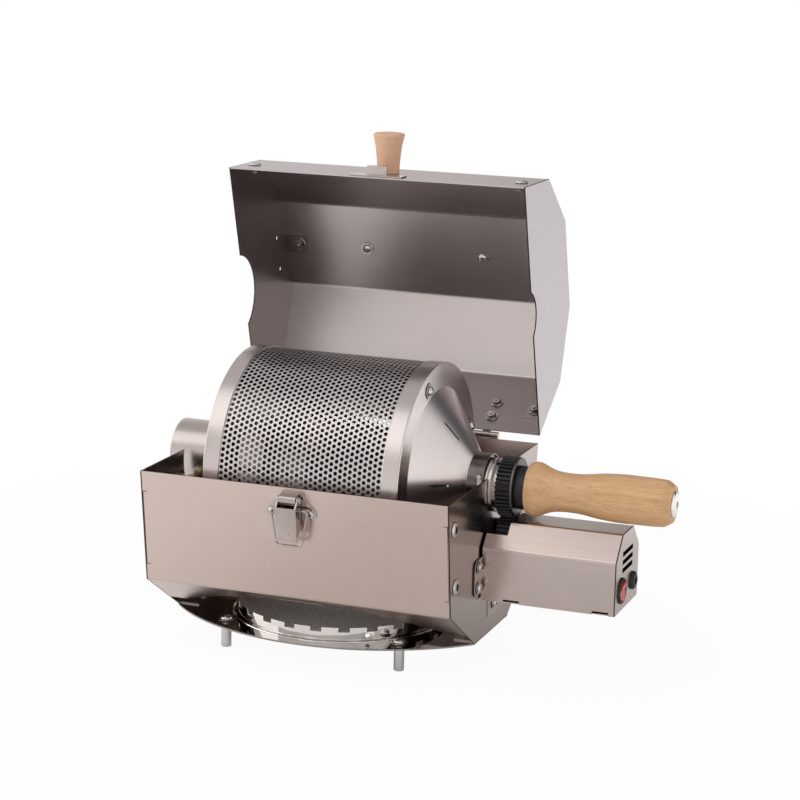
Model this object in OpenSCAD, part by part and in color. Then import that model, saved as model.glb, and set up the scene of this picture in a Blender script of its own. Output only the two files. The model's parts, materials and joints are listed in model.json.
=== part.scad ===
// Home coffee bean roaster: a sheet-steel housing with a hinged lid, a perforated
// drum on rollers, a gear motor in a side box and a flame ring on the base plate.
// Millimetres. +X runs along the drum towards the handle, +Y to the back, +Z up.
// The origin is on the floor, at the centre of the four legs.

/* [Housing] */
// Width of the housing over both end panels
body_w = 280; // [250:5:310]
// Depth of the housing at its top edge
body_d = 245; // [238:1:256]
// Height of the end panels above the base plate
body_h = 140; // [136:1:150]
// Height of the upright part of the front and rear panels
wall_h = 99.5; // [92:0.5:102]
// How far the upright panels lean in at their fold
wall_lean_in = 12.5; // [8:0.5:16]
// Half length of the flat bottom edge of an end panel
bottom_half = 46; // [40:1:52]
// Thickness of the housing and lid sheet
sheet_t = 1.2; // [1:0.1:1.6]
// Gap between the base plate and the lower edge of the front sheet
draught_gap = 12; // [8:1:16]
// Radius of the arc cut in the sloping panels
arc_cut_r = 226; // [200:2:250]
// Reach of the arc cut from the middle of the housing
arc_cut_y = 101.5; // [98:0.5:104]

/* [Base] */
// Length of a leg below the base plate
leg_h = 22.5; // [15:0.5:35]
// Diameter of a leg
leg_d = 9; // [7:0.5:12]
// Leg spacing along the housing
leg_span_x = 162; // [150:1:180]
// Leg spacing from front to back
leg_span_y = 144; // [140:1:156]
// Thickness of the base plate
plate_t = 1.5; // [1.2:0.1:2]
// Radius of the bulged front and rear edges of the base plate
plate_arc_r = 189; // [180:1:200]
// Reach of the bulged edges from the middle of the plate
plate_reach = 108; // [104:0.5:112]
// Outer radius of the flame ring
ring_r = 94; // [88:0.5:98]
// Height of the flame ring
ring_h = 12; // [9:0.5:16]
// Number of notches round the flame ring
ring_notches = 24; // [16:1:30]

/* [Lid] */
// Height of the lid above the housing
lid_h = 114; // [112:1:124]
// Height of the fold above the lid's front panel
lid_fold_h = 73; // [68:1:78]
// How far that fold lies inside the lid's edge
lid_fold_in = 20.6; // [17:0.2:24]
// How far the top panel's edge lies inside the lid's edge
lid_top_in = 79; // [74:1:84]
// Gap between the lid's edge and the housing at the hinge
lid_gap = 5; // [4.5:0.5:6]
// How far the lid stands open at rest, from the level of the housing's rim
lid_open = 73.5; // [60:0.5:80]
// Length of the wooden knob
knob_len = 36; // [28:1:44]
// Radius of the knob at its outer end
knob_r = 14.2; // [11:0.1:17]

/* [Drum] */
// Depth of the drum's axis below the housing's rim
axis_drop = 10; // [8:0.5:11]
// Outer radius of the end rings
drum_r = 101.5; // [94:0.5:103]
// Space between the drum's left end and the outside of the housing
drum_space_left = 48.5; // [42:0.5:54]
// Space between the drum's right ring and the outside of the housing
drum_space_right = 54; // [50:0.5:60]
// Width of an end ring
band_w = 14.8; // [10:0.2:20]
// Wall of the perforated sheet
mesh_t = 0.8; // [0.6:0.1:1.2]
// Outer radius of the outlet tube
tube_r = 29; // [24:0.5:32]
// Reach of the outlet tube outside the housing
tube_reach = 17; // [10:1:30]
// Number of stirring vanes inside the drum
vanes = 6; // [3:1:8]
// Radial depth of a vane
vane_depth = 24; // [14:1:30]

/* [Drive] */
// Module of the gear teeth
gear_module = 1.25; // [1.25:0.05:1.25]
// Teeth of the drum gear
gear_teeth = 40; // [40:1:40]
// Teeth of the motor pinion
pinion_teeth = 30; // [30:1:30]
// Space between the housing and the drum gear
gear_space = 7; // [6.5:0.5:8]
// Width of the gears
gear_w = 13; // [10:0.5:13]
// Radius of the support rollers
roller_r = 14; // [12.5:0.5:15]
// Length of the wooden handle
handle_len = 127; // [110:1:150]

/* [Motor box] */
// Length of the motor box
box_len = 120; // [115:1:150]
// Width of the motor box
box_w = 72; // [70:1:80]
// Height of the motor box's upright sides
box_side_h = 46.5; // [44:0.5:50]
// Height of the motor box
box_h = 67; // [67:0.5:70]
// Width of the motor box's flat top
box_top_w = 33; // [30:1:38]
// Height of the motor shaft above the motor box's underside
shaft_lift = 50; // [49:0.5:51]

/* [Clearances] */
// Running clearance of a shaft in a bore
run_gap = 0.05; // [0.03:0.01:0.08]
// Clearance of a screw in its hole
screw_gap = 0.15; // [0.1:0.05:0.3]
// Free space between moving and fixed faces
free_gap = 0.4; // [0.3:0.1:0.6]

/* [Hidden] */
$fn = 72;
e = 0.01;
plate_z = leg_h;
plate_top = plate_z + plate_t;
rim_z = plate_top + body_h;
axis_z = rim_z - axis_drop;
half_w = body_w / 2;
half_d = body_d / 2;
inner_w = half_w - sheet_t;
fold_z = rim_z - wall_h;
fold_y = half_d - wall_lean_in;
wall_lean = atan(wall_lean_in / wall_h);

// Screws: shank and head radii
m5_r = 2.5;
m4_r = 2;
m3_r = 1.5;
truss_r = 6.7;
truss_h = 2.4;
box_pan = [4.2, 2.6, 5.6];
washer_t = 1;
leg_washer_r = 6.8;
leg_tap = 8.5;
nut_t = 3.2;
cone_pan = [4.6, 3.4, 7];
lid_pan = [4.2, 2.6, 6.2];

// Upper profile of the lid when it is level with the rim, front to back
lid_path = [
    [-half_d, rim_z + lid_gap],
    [-half_d + lid_fold_in, rim_z + lid_fold_h],
    [-half_d + lid_top_in, rim_z + lid_h],
    [half_d - lid_top_in, rim_z + lid_h],
    [half_d - lid_fold_in, rim_z + lid_fold_h],
    [half_d, rim_z + lid_gap]
];
lid_lean = atan(lid_fold_in / (lid_fold_h - lid_gap));
lid_front_len = norm(lid_path[1] - lid_path[0]);
lid_top_len = norm(lid_path[3] - lid_path[2]);

// Hinges
hinge_x = 89;
hinge_w = 24;
barrel_r = 3.2;
pin_r = 1.5;
leaf_t = 1.5;
leaf_len = 46;
hinge_y = half_d + 3;
hinge_z = rim_z + lid_gap / 2;
knuckle_w = hinge_w / 3;
leaf_screws = [17, 35];

// Drum
drum_left = -half_w + drum_space_left;
drum_right = half_w - drum_space_right;
tube_left = -half_w - tube_reach;
mesh_r = drum_r - 1.4;
rim_x = drum_right + 1;
flange_r = 80;
flange_t = 1.2;
cone_rim_r = 79.5;
neck_r = 27;
neck_x = half_w - 18;
neck_end = neck_x + 14.5;
neck_wall = 1.5;
bayonet_w = 4.4;
slot_angle = 170;
vane_angle = 112.5;
cone_screw_angle = 109.4;
cone_screw_r = 88;
cone_slot_w = 2;

// Bearing collar and drive
collar_r = 23.5;
collar_groove_r = 21.6;
sleeve_r = 19.5;
sleeve_x = neck_x - 6;
gear_x = half_w + gear_space;
pitch_r = gear_module * gear_teeth / 2;
pinion_pitch_r = gear_module * pinion_teeth / 2;
pinion_z = axis_z - pitch_r - pinion_pitch_r;
pinion_shaft_r = 3;
disc_r = 25.5;
disc_t = 2;
ferrule_x = gear_x + gear_w + disc_t;
ferrule_r = 18.8;
handle_x = half_w + 31;
bolt_r = 4;
handle_bore_r = bolt_r + 0.2;
cap_r = 11.4;
cap_h = 3.2;

// Support rollers under the outlet tube
roller_w = 8;
roller_angle = 51.5;
roller_pin_r = 2.5;
roll_gap = 0.3;
roller_reach = tube_r + roller_r + roll_gap;
roller_y = roller_reach * sin(roller_angle);
roller_z = axis_z - roller_reach * cos(roller_angle);
roller_x = -inner_w + 2;

// Notches that the drum's ends lie in
tube_notch_r = tube_r + 9;
lid_collar_notch_r = 26.5;

// Latch, in the front panel's own frame: x, distance out, height over the rim
lever_out = 6;
lever_face = 8;
lever_back = 3.6;
lever_len = 34.5;
lever_z = -8.5;
lever_half = 9.4;
bail_z = -17.5;
wire_r = 1.1;
wing = [17.5, -21.5];
wing_r = 5.2;
latch_screw_x = 17.5;

// Motor box
box_z = pinion_z - shaft_lift;
box_end = half_w + box_len;
box_t = 1;
box_path = [
    [-box_w / 2, box_z],
    [-box_w / 2, box_z + box_side_h],
    [-box_top_w / 2, box_z + box_h],
    [box_top_w / 2, box_z + box_h],
    [box_w / 2, box_z + box_side_h],
    [box_w / 2, box_z]
];
gearbox_r = 18.5;
gearbox_len = 22;
motor_r = 17;
motor_len = 46;
shaft_offset = 7;
bracket_x = gear_x + gear_w + 1.5;
bracket_t = 2;
bracket_w = 36;
motor_z = pinion_z - shaft_offset;
switch_y = -box_w / 2 + 19;
switch_z = box_z + 18;
jack_y = box_w / 2 - 18;
switch_r = 11.5;
switch_body_r = 9.8;
button_r = 8.8;
button_pin_r = 1.5;

// ---- Helpers ----

function unit(v) = v / norm(v);
function left_of(v) = [-v[1], v[0]];
// Point i of an open path, moved t to the path's left with mitred corners
function mitre(p, t, i) =
    let (
        n = len(p),
        d0 = i > 0 ? unit(p[i] - p[i - 1]) : unit(p[1] - p[0]),
        d1 = i < n - 1 ? unit(p[i + 1] - p[i]) : d0,
        m = unit(left_of(d0) + left_of(d1))
    ) p[i] + m * t / (m * left_of(d0));
function band(p, t) = concat(p, [for (i = [len(p) - 1 : -1 : 0]) mitre(p, t, i)]);

// A Y-Z outline drawn out along X from x0 to x1
module along_x(x0, x1) {
    translate([x0, 0, 0]) rotate([90, 0, 90]) linear_extrude(x1 - x0) children();
}

// A round bar along X
module bar_x(r, x0, x1, y = 0, z = axis_z) {
    translate([x0, y, z]) rotate([0, 90, 0]) cylinder(r = r, h = x1 - x0);
}

// A tube along X
module tube_x(ro, ri, x0, x1, y = 0, z = axis_z) {
    difference() {
        bar_x(ro, x0, x1, y, z);
        bar_x(ri, x0 - 1, x1 + 1, y, z);
    }
}

// A turned shape about the drum's axis: outline in [x, radius]
module turned() {
    translate([0, 0, axis_z]) rotate([0, 90, 0]) rotate_extrude($fn = 96) rotate(90) mirror([0, 1]) children();
}

// Children repeated on both sides of the middle, mirrored in X
module both_x() {
    children();
    mirror([1, 0, 0]) children();
}

// Children repeated at the front and the back, mirrored in Y
module both_y() {
    children();
    mirror([0, 1, 0]) children();
}

// A domed screw whose head sits on z = 0 and whose shank runs down
module screw(r, head_r, head_h, len) {
    dome_r = (head_r * head_r + head_h * head_h) / (2 * head_h);
    intersection() {
        cylinder(r = head_r, h = head_h);
        translate([0, 0, head_h - dome_r]) sphere(r = dome_r);
    }
    translate([0, 0, -len]) cylinder(r = r, h = len + e);
}

// A screw with a washer under its head; head is [radius, height, washer's radius]
module washer_screw(r, head, len) {
    cylinder(r = head[2], h = washer_t);
    translate([0, 0, washer_t - e]) screw(r, head[0], head[1], len + washer_t);
}

// The front panel's frame: y = 0 on its outer face, z = 0 at the rim
module on_front() {
    translate([0, -half_d, rim_z]) rotate([wall_lean, 0, 0]) children();
}

// The rear panel's frame: x across, y down the panel, z out
module on_rear() {
    translate([0, half_d, rim_z]) rotate([-90 - wall_lean, 0, 0]) children();
}

// The lid where it stands at rest
module lid_pose() {
    translate([0, hinge_y, hinge_z]) rotate([-lid_open, 0, 0]) translate([0, -hinge_y, -hinge_z]) children();
}

// Frame of lid panel i: x across, y along the panel from its front fold, z out
module on_lid_panel(i) {
    d = lid_path[i + 1] - lid_path[i];
    translate([0, lid_path[i][0], lid_path[i][1]]) rotate([atan2(d[1], d[0]), 0, 0]) children();
}

// ---- Housing ----

slope_path = [
    [-half_d, rim_z],
    [-fold_y, fold_z],
    [-bottom_half, plate_top]
];
// The sloping panel stops at draught_gap above the base plate
slope_end = slope_path[1] + (slope_path[2] - slope_path[1])
    * (fold_z - plate_top - draught_gap) / (fold_z - plate_top);
flange_w = 23;
panel_screw_in = 12;
flange_top = 18;
flange_bottom = 86;
panel_screws = [25.4, 76.8];
slit_w = 0.8;
foot_flange = 18;
rivet_in = 12.8;
rivet_y = 25;

// Front panel with its slope and the two folded-in end flanges
module wall_sheet() {
    path = [slope_path[0], slope_path[1], slope_end];
    difference() {
        along_x(-inner_w, inner_w) polygon(band(path, sheet_t));
        translate([0, -arc_cut_y + arc_cut_r, 0]) cylinder(r = arc_cut_r, h = fold_z - 1, $fn = 180);
    }
    both_x() on_front() difference() {
        translate([inner_w - sheet_t, sheet_t - e, -flange_bottom]) cube([sheet_t, flange_w, flange_bottom - flange_top]);
        for (z = panel_screws)
            translate([inner_w - 5, panel_screw_in, -z]) rotate([0, 90, 0]) cylinder(r = m5_r + screw_gap, h = 10);
    }
}

// Relief slits where the end flanges fold in
module flange_slits() {
    both_x() on_front() {
        translate([inner_w - slit_w, -1, -flange_bottom]) cube([slit_w + 1, sheet_t + 1, flange_bottom - flange_top]);
        for (z = [-flange_bottom, -flange_top - slit_w]) translate([inner_w - 4, -1, z]) cube([5, sheet_t + 1, slit_w]);
    }
}

module front_sheet() {
    color("#cbbab3") difference() {
        wall_sheet();
        flange_slits();
        on_front() latch_screw_places() cylinder(r = m3_r + screw_gap, h = 10, center = true);
    }
}

module rear_sheet() {
    color("#c0b1ab") mirror([0, 1, 0]) difference() {
        wall_sheet();
        flange_slits();
        on_front() leaf_holes() cylinder(r = m3_r + screw_gap, h = 10, center = true);
    }
}

// Places of the rear panel's hinge screws, in the front panel's frame
module leaf_holes() {
    for (x = [-hinge_x, hinge_x], s = leaf_screws) translate([x, 0, -s]) rotate([90, 0, 0]) children();
}

// Outline of an end panel
module end_outline() {
    polygon(concat(slope_path, [for (i = [2:-1:0]) [-slope_path[i][0], slope_path[i][1]]]));
}

// End panel on the right, with its bottom flange and screw holes
module end_panel() {
    difference() {
        union() {
            along_x(inner_w, half_w) end_outline();
            translate([inner_w - foot_flange, -bottom_half + 2, plate_top]) cube([foot_flange + e, 2 * bottom_half - 4, sheet_t]);
        }
        both_y() on_front() for (z = panel_screws)
            translate([inner_w - 5, panel_screw_in, -z]) rotate([0, 90, 0]) cylinder(r = m5_r + screw_gap, h = 10);
        both_y() rivet_at() cylinder(r = m3_r, h = 20, center = true);
    }
}

module left_end_panel() {
    color("#8f8580") difference() {
        mirror([1, 0, 0]) end_panel();
        bar_x(tube_notch_r, -half_w - 5, -inner_w + 5);
        for (s = [-1, 1]) bar_x(roller_pin_r, -half_w - 5, -inner_w + 5, s * roller_y, roller_z);
    }
}

module right_end_panel() {
    color("#8f8580") difference() {
        end_panel();
        bar_x(collar_groove_r + screw_gap, inner_w - 5, half_w + 5);
        translate([inner_w - 5, -collar_groove_r - screw_gap, axis_z])
            cube([10, 2 * (collar_groove_r + screw_gap), axis_drop + 1]);
        for (p = ear_screws) bar_x(m4_r + screw_gap, inner_w - 5, half_w + 5, p[0], p[1]);
    }
}

module end_panel_screws() {
    color("#d9d2ce") both_x() both_y() on_front() for (z = panel_screws)
        translate([half_w, panel_screw_in, -z]) rotate([0, 90, 0]) screw(m5_r, truss_r, truss_h, 7);
}

// ---- Base ----

module base_plate() {
    color("#4a4645") difference() {
        translate([0, 0, plate_z]) linear_extrude(plate_t) intersection() {
            square([body_w, 2 * plate_reach + 10], center = true);
            translate([0, plate_arc_r - plate_reach]) circle(r = plate_arc_r, $fn = 240);
            translate([0, -plate_arc_r + plate_reach]) circle(r = plate_arc_r, $fn = 240);
        }
        translate([0, 0, plate_z - 1]) cylinder(r = ring_r - 7, h = plate_t + 2, $fn = 120);
        leg_places() translate([0, 0, plate_z - 1]) cylinder(r = m5_r + screw_gap, h = plate_t + 2);
        both_y() both_x() rivet_at() cylinder(r = m3_r, h = 20, center = true);
    }
}

module rivet_at() {
    translate([inner_w - rivet_in, rivet_y, plate_top]) children();
}

module base_rivets() {
    color("#cfc8c4") both_y() both_x() rivet_at() translate([0, 0, sheet_t]) screw(m3_r, 2.6, 1.2, sheet_t + plate_t);
}

module flame_ring() {
    wall = 1.2;
    ledge_z = plate_top + ring_h / 2;
    notch_w = 2 * PI * ring_r / ring_notches * 0.42;
    color("#dedad7") difference() {
        union() {
            translate([0, 0, plate_top]) difference() {
                cylinder(r = ring_r, h = ring_h, $fn = 144);
                translate([0, 0, -1]) cylinder(r = ring_r - wall, h = ring_h + 2, $fn = 144);
            }
            translate([0, 0, ledge_z]) difference() {
                cylinder(r = ring_r - wall + e, h = 1, $fn = 144);
                translate([0, 0, -1]) cylinder(r = ring_r - 6, h = 3, $fn = 144);
            }
        }
        for (i = [0 : ring_notches - 1]) rotate((i + 0.5) * 360 / ring_notches)
            translate([ring_r - 3, -notch_w / 2, plate_top + ring_h - 4]) cube([6, notch_w, 5]);
        rotate(-55) translate([ring_r - 4, 0, plate_top + ring_h / 2 - 1]) rotate([0, 90, 0]) cylinder(r = 2.2, h = 8);
    }
}

module flame_mesh() {
    color("#8d8683") translate([0, 0, plate_top + ring_h / 2 + 1]) cylinder(r = ring_r - 1.4, h = 1, $fn = 144);
}

module leg_places() {
    both_x() both_y() translate([leg_span_x / 2, leg_span_y / 2, 0]) children();
}

module legs() {
    color("#cfcbc8") leg_places() difference() {
        cylinder(r = leg_d / 2, h = leg_h, $fn = 48);
        translate([0, 0, leg_h - leg_tap]) cylinder(r = m5_r, h = leg_tap + 1);
    }
}

module leg_screws() {
    color("#d9d2ce") leg_places() translate([0, 0, plate_top]) {
        cylinder(r = leg_washer_r, h = washer_t);
        translate([0, 0, washer_t - e]) screw(m5_r, 4.8, 3.4, washer_t + plate_t + leg_tap - 0.5);
    }
}

// ---- Rollers and bearing ----

module roller_pins() {
    color("#cfcbc8") for (s = [-1, 1]) union() {
        bar_x(roller_pin_r, -half_w - 1.5, roller_x + roller_w + 2, s * roller_y, roller_z);
        bar_x(roller_pin_r + 1.8, -half_w - 1.5, -half_w, s * roller_y, roller_z);
        bar_x(roller_pin_r + 1.2, -inner_w, roller_x - free_gap, s * roller_y, roller_z);
        bar_x(roller_pin_r + 1.2, roller_x + roller_w + free_gap, roller_x + roller_w + 2, s * roller_y, roller_z);
    }
}

module roller(s) {
    tube_x(roller_r, roller_pin_r + run_gap, roller_x, roller_x + roller_w, s * roller_y, roller_z);
}

module front_roller() {
    color("#b8a06a") roller(-1);
}

module rear_roller() {
    color("#b8a06a") roller(1);
}

// Grooved collar that sits in the right end panel's notch and carries the drive sleeve
module bearing_collar() {
    groove = sheet_t + 0.2;
    groove_x = inner_w - 0.1;
    color("#c9c4c1") difference() {
        union() {
            bar_x(collar_r, groove_x - 3.8, groove_x);
            bar_x(collar_groove_r, groove_x - e, groove_x + groove + e);
            bar_x(collar_r, groove_x + groove, groove_x + groove + 2.6);
        }
        bar_x(sleeve_r + run_gap, groove_x - 5, groove_x + groove + 5);
    }
}

// ---- Hinges ----

// One leaf of a hinge: x across, y away from the hinge's line, z out of the panel
module leaf(line_y, line_z, tongues) {
    difference() {
        union() {
            translate([-hinge_w / 2, line_y + 7, 0]) cube([hinge_w, leaf_len - line_y - 7, leaf_t]);
            for (t = tongues) {
                translate([t[0], line_y, 0]) cube([t[1] - t[0], 7 + e, leaf_t]);
                translate([t[0], line_y, line_z]) rotate([0, 90, 0]) cylinder(r = barrel_r, h = t[1] - t[0]);
            }
        }
        translate([-hinge_w, line_y, line_z]) rotate([0, 90, 0]) cylinder(r = pin_r + run_gap, h = 2 * hinge_w);
        for (s = leaf_screws) translate([0, s, -1]) cylinder(r = m3_r + screw_gap, h = leaf_t + 2);
    }
}

k0 = hinge_w / 2;
k1 = knuckle_w / 2;
knuckle_gap = 0.15;
outer_knuckles = [[-k0, -k1 - knuckle_gap], [k1 + knuckle_gap, k0]];
middle_knuckle = [[-k1 + knuckle_gap, k1 - knuckle_gap]];
hinge_dy = hinge_y - half_d;
hinge_dz = hinge_z - rim_z;

module hinge_lower_leaves() {
    color("#c9c2be") for (x = [-hinge_x, hinge_x]) translate([x, 0, 0]) on_rear()
        leaf(
            -hinge_dy * sin(wall_lean) - hinge_dz * cos(wall_lean),
            hinge_dy * cos(wall_lean) - hinge_dz * sin(wall_lean),
            outer_knuckles
        );
}

module hinge_lower_screws() {
    color("#d9d2ce") for (x = [-hinge_x, hinge_x]) on_rear()
        for (s = leaf_screws) translate([x, s, leaf_t]) screw(m3_r, 3.4, 1.8, leaf_t + 3.5);
}

module hinge_pins() {
    color("#d9d2ce") for (x = [-hinge_x, hinge_x])
        bar_x(pin_r, x - hinge_w / 2, x + hinge_w / 2, hinge_y, hinge_z);
}

// Frame of the lid's rear panel: y runs up from the lid's edge, z out
module on_lid_rear() {
    translate([0, half_d, rim_z + lid_gap]) rotate([90 + lid_lean, 0, 0]) mirror([0, 0, 1]) children();
}

module hinge_upper_leaves() {
    dz = lid_gap - hinge_dz;
    color("#c9c2be") lid_pose() for (x = [-hinge_x, hinge_x]) translate([x, 0, 0]) on_lid_rear()
        leaf(
            -hinge_dy * sin(lid_lean) - dz * cos(lid_lean),
            hinge_dy * cos(lid_lean) - dz * sin(lid_lean),
            middle_knuckle
        );
}

module hinge_upper_screws() {
    color("#d9d2ce") lid_pose() for (x = [-hinge_x, hinge_x]) on_lid_rear() for (s = leaf_screws)
        translate([x, s, leaf_t]) {
            screw(m3_r, 3.4, 1.8, leaf_t + sheet_t + nut_t + 1);
            translate([0, 0, -leaf_t - sheet_t - washer_t]) washer(m3_r, 5.8, washer_t);
            translate([0, 0, -leaf_t - sheet_t - washer_t - nut_t]) nut(m3_r, 4.3, nut_t);
        }
}

module washer(r, ro, t) {
    difference() {
        cylinder(r = ro, h = t);
        translate([0, 0, -1]) cylinder(r = r, h = t + 2);
    }
}

module nut(r, ro, t) {
    difference() {
        cylinder(r = ro, h = t, $fn = 6);
        translate([0, 0, -1]) cylinder(r = r, h = t + 2, $fn = 36);
    }
}

// ---- Latch ----

// Base plate with two rounded wings, and a tongue rolled round the lever's pin
module latch_base() {
    reach = wing - [8, -3];
    turn = atan2(reach[1], reach[0]) + asin(wing_r / norm(reach));
    touch = [8, -3] + sqrt(reach * reach - wing_r * wing_r) * [cos(turn), sin(turn)];
    low = [wing[0], wing[1] - wing_r];
    color("#a89f9a") on_front() difference() {
        union() {
            rotate([90, 0, 0]) linear_extrude(1.5)
                polygon([[-8, -3], [8, -3], touch, wing, low, [-low[0], low[1]], [-wing[0], wing[1]], [-touch[0], touch[1]]]);
            both_x() translate([wing[0], 0, wing[1]]) rotate([90, 0, 0]) cylinder(r = wing_r, h = 1.5);
            translate([-tongue_half, -lever_out, lever_z]) rotate([0, 90, 0]) cylinder(r = 4.4, h = 2 * tongue_half);
            translate([-tongue_half, -lever_out, lever_z + 3]) cube([2 * tongue_half, lever_out, 1.4]);
        }
        translate([-15, -lever_out, lever_z]) rotate([0, 90, 0]) cylinder(r = pin_r, h = 30);
        latch_screw_places() cylinder(r = m3_r + screw_gap, h = 6, center = true);
    }
}

tongue_half = lever_half - 1.4 - free_gap;
module latch_screw_places() {
    for (x = [-latch_screw_x, latch_screw_x]) translate([x, 0, wing[1]]) rotate([90, 0, 0]) children();
}

module latch_screws() {
    color("#d9d2ce") on_front() latch_screw_places() translate([0, 0, 1.5]) screw(m3_r, 3.3, 1.8, 1.5 + sheet_t + 2);
}

module latch_pivot_pin() {
    reach = lever_half + run_gap;
    color("#d9d2ce") on_front() translate([0, -lever_out, lever_z]) union() {
        translate([-reach - 1, 0, 0]) rotate([0, 90, 0]) cylinder(r = pin_r, h = 2 * reach + 2);
        both_x() translate([reach, 0, 0]) rotate([0, 90, 0]) cylinder(r = 2.4, h = 1.1);
    }
}

// Pressed lever: a face with two side walls that reach up to the pin
module latch_lever() {
    wall = 1.4;
    color("#b3aaa5") on_front() translate([0, -lever_out, 0]) difference() {
        union() {
            translate([-lever_half, -lever_face, lever_z - lever_len]) cube([2 * lever_half, wall, lever_len - 4.5]);
            both_x() along_x(lever_half - wall, lever_half) polygon([
                [lever_back, lever_z], [-lever_back, lever_z], [-lever_face, lever_z - 4.5],
                [-lever_face, lever_z - lever_len + 3.5], [lever_back, lever_z - lever_len + 8]
            ]);
            both_x() translate([lever_half - wall, 0, lever_z]) rotate([0, 90, 0]) cylinder(r = lever_back, h = wall);
            translate([0, -lever_face + e, lever_z - lever_len + 6]) rotate([90, 0, 0]) cylinder(r = 2.7, h = 0.5);
        }
        translate([-15, 0, lever_z]) rotate([0, 90, 0]) cylinder(r = pin_r + run_gap, h = 30);
        translate([-15, 0, bail_z]) rotate([0, 90, 0]) cylinder(r = wire_r + run_gap, h = 30);
    }
}

// Wire bail: hangs plumb from the lever's side holes
bail_side = [[16.8, 0], [11.4, -31]];
module wire(p, q) {
    d = q - p;
    len = norm(d);
    translate([p[0], 0, p[1]]) rotate([0, atan2(d[0], d[1]), 0]) cylinder(r = wire_r, h = len, $fn = 32);
    translate([p[0], 0, p[1]]) sphere(r = wire_r, $fn = 32);
    translate([q[0], 0, q[1]]) sphere(r = wire_r, $fn = 32);
}

module latch_bail() {
    color("#d9d2ce") on_front() translate([0, -lever_out, bail_z]) rotate([-wall_lean, 0, 0]) {
        both_x() {
            wire([6.6, 0], bail_side[0]);
            wire(bail_side[0], bail_side[1]);
        }
        wire([-bail_side[1][0], bail_side[1][1]], bail_side[1]);
    }
}

// ---- Motor box ----

ear_w = 18;
ear_chamfer = 4;
tongue_w = 26;
tongue_drop = 22;
lug_w = 14.5;
lug_slots = [half_w + 21, box_end - 20];
vent_w = 32;
vent_h = 3.8;
vent_step = 7.2;
vent_z = box_z + 33;
ear_z = [box_z + 6.5, box_z + 38];
ear_y = box_w / 2 + 8;
ear_edge = box_w / 2 + ear_w;
ear_screws = [
    for (s = [-1, 1], z = [box_z + 13, box_z + 31.5]) [s * ear_y, z],
    [0, box_z - tongue_drop + 10]
];
cut_x = gear_x + gear_w + 0.5;
cut_y = 26;
cut_z = pinion_z + 6;

module motor_cover() {
    color("#c3b4ae") difference() {
        union() {
            along_x(half_w, box_end - box_t) polygon(band(box_path, -box_t));
            both_y() along_x(half_w, half_w + sheet_t) polygon([
                [box_w / 2 - box_t, ear_z[0]], [ear_edge - ear_chamfer, ear_z[0]], [ear_edge, ear_z[0] + ear_chamfer],
                [ear_edge, ear_z[1] - ear_chamfer], [ear_edge - ear_chamfer, ear_z[1]], [box_w / 2 - box_t, ear_z[1]]
            ]);
        }
        translate([half_w - 1, -cut_y, cut_z]) cube([cut_x - half_w + 1, 2 * cut_y, box_h]);
        // The cover stands off the end panel above and below its ears
        translate([half_w - 1, -box_w, ear_z[1]]) cube([2.8, 2 * box_w, box_h]);
        translate([half_w - 1, -box_w, box_z - 1]) cube([2.2, 2 * box_w, ear_z[0] - box_z + 1]);
        for (p = ear_screws) bar_x(m4_r + screw_gap, half_w - 5, half_w + 5, p[0], p[1]);
        for (x = lug_slots) translate([x, -box_w / 2 - 1, box_z - e]) cube([lug_w, 3, 3]);
    }
}

module motor_bottom_plate() {
    color("#a99d97") difference() {
        union() {
            translate([half_w + sheet_t, -box_w / 2 + box_t + e, box_z]) cube([box_len - sheet_t - box_t, box_w - 2 * box_t - 2 * e, box_t]);
            translate([half_w, -tongue_w / 2, box_z - tongue_drop]) cube([sheet_t, tongue_w, tongue_drop + box_t]);
        }
        bar_x(m4_r + screw_gap, half_w - 5, half_w + 5, 0, box_z - tongue_drop + 10);
    }
}

module motor_end_plate() {
    color("#c3b4ae") difference() {
        along_x(box_end - box_t, box_end) polygon(box_path);
        for (i = [0 : 2]) translate([box_end - 5, -vent_w / 2, vent_z + i * vent_step]) cube([10, vent_w, vent_h]);
        bar_x(switch_body_r + 0.2, box_end - 5, box_end + 5, switch_y, switch_z);
        bar_x(4.2, box_end - 5, box_end + 5, jack_y, switch_z);
    }
}

module motor_cover_screws() {
    color("#d9d2ce") for (p = ear_screws)
        translate([half_w + sheet_t, p[0], p[1]]) rotate([0, 90, 0]) washer_screw(m4_r, box_pan, 2 * sheet_t + 4);
}

// Upright plate that the gearbox is screwed to, with a foot on the bottom plate
module motor_bracket() {
    color("#9c948f") difference() {
        union() {
            translate([bracket_x, -bracket_w / 2, box_z + box_t]) cube([bracket_t, bracket_w, motor_z + 11 - box_z]);
            translate([bracket_x, -bracket_w / 2, box_z + box_t]) cube([18, bracket_w, bracket_t]);
        }
        bar_x(7, bracket_x - 1, bracket_x + bracket_t + 1, 0, pinion_z);
        for (a = [30 : 120 : 270]) translate([0, 15.5 * cos(a), 15.5 * sin(a)])
            bar_x(m3_r + screw_gap, bracket_x - 1, bracket_x + bracket_t + 1, 0, motor_z);
    }
}

module gearbox() {
    x0 = bracket_x + bracket_t;
    color("#b9b2ae") difference() {
        union() {
            bar_x(gearbox_r, x0, x0 + gearbox_len, 0, motor_z);
            bar_x(6, bracket_x - 1, x0 + e, 0, pinion_z);
        }
        bar_x(pinion_shaft_r + run_gap, bracket_x - 2, x0 + gearbox_len - 4, 0, pinion_z);
    }
}

module motor() {
    x0 = bracket_x + bracket_t + gearbox_len;
    color("#8b8683") {
        bar_x(motor_r, x0, x0 + motor_len, 0, motor_z);
        bar_x(5, x0 + motor_len - e, x0 + motor_len + 3, 0, motor_z);
    }
}

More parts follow.
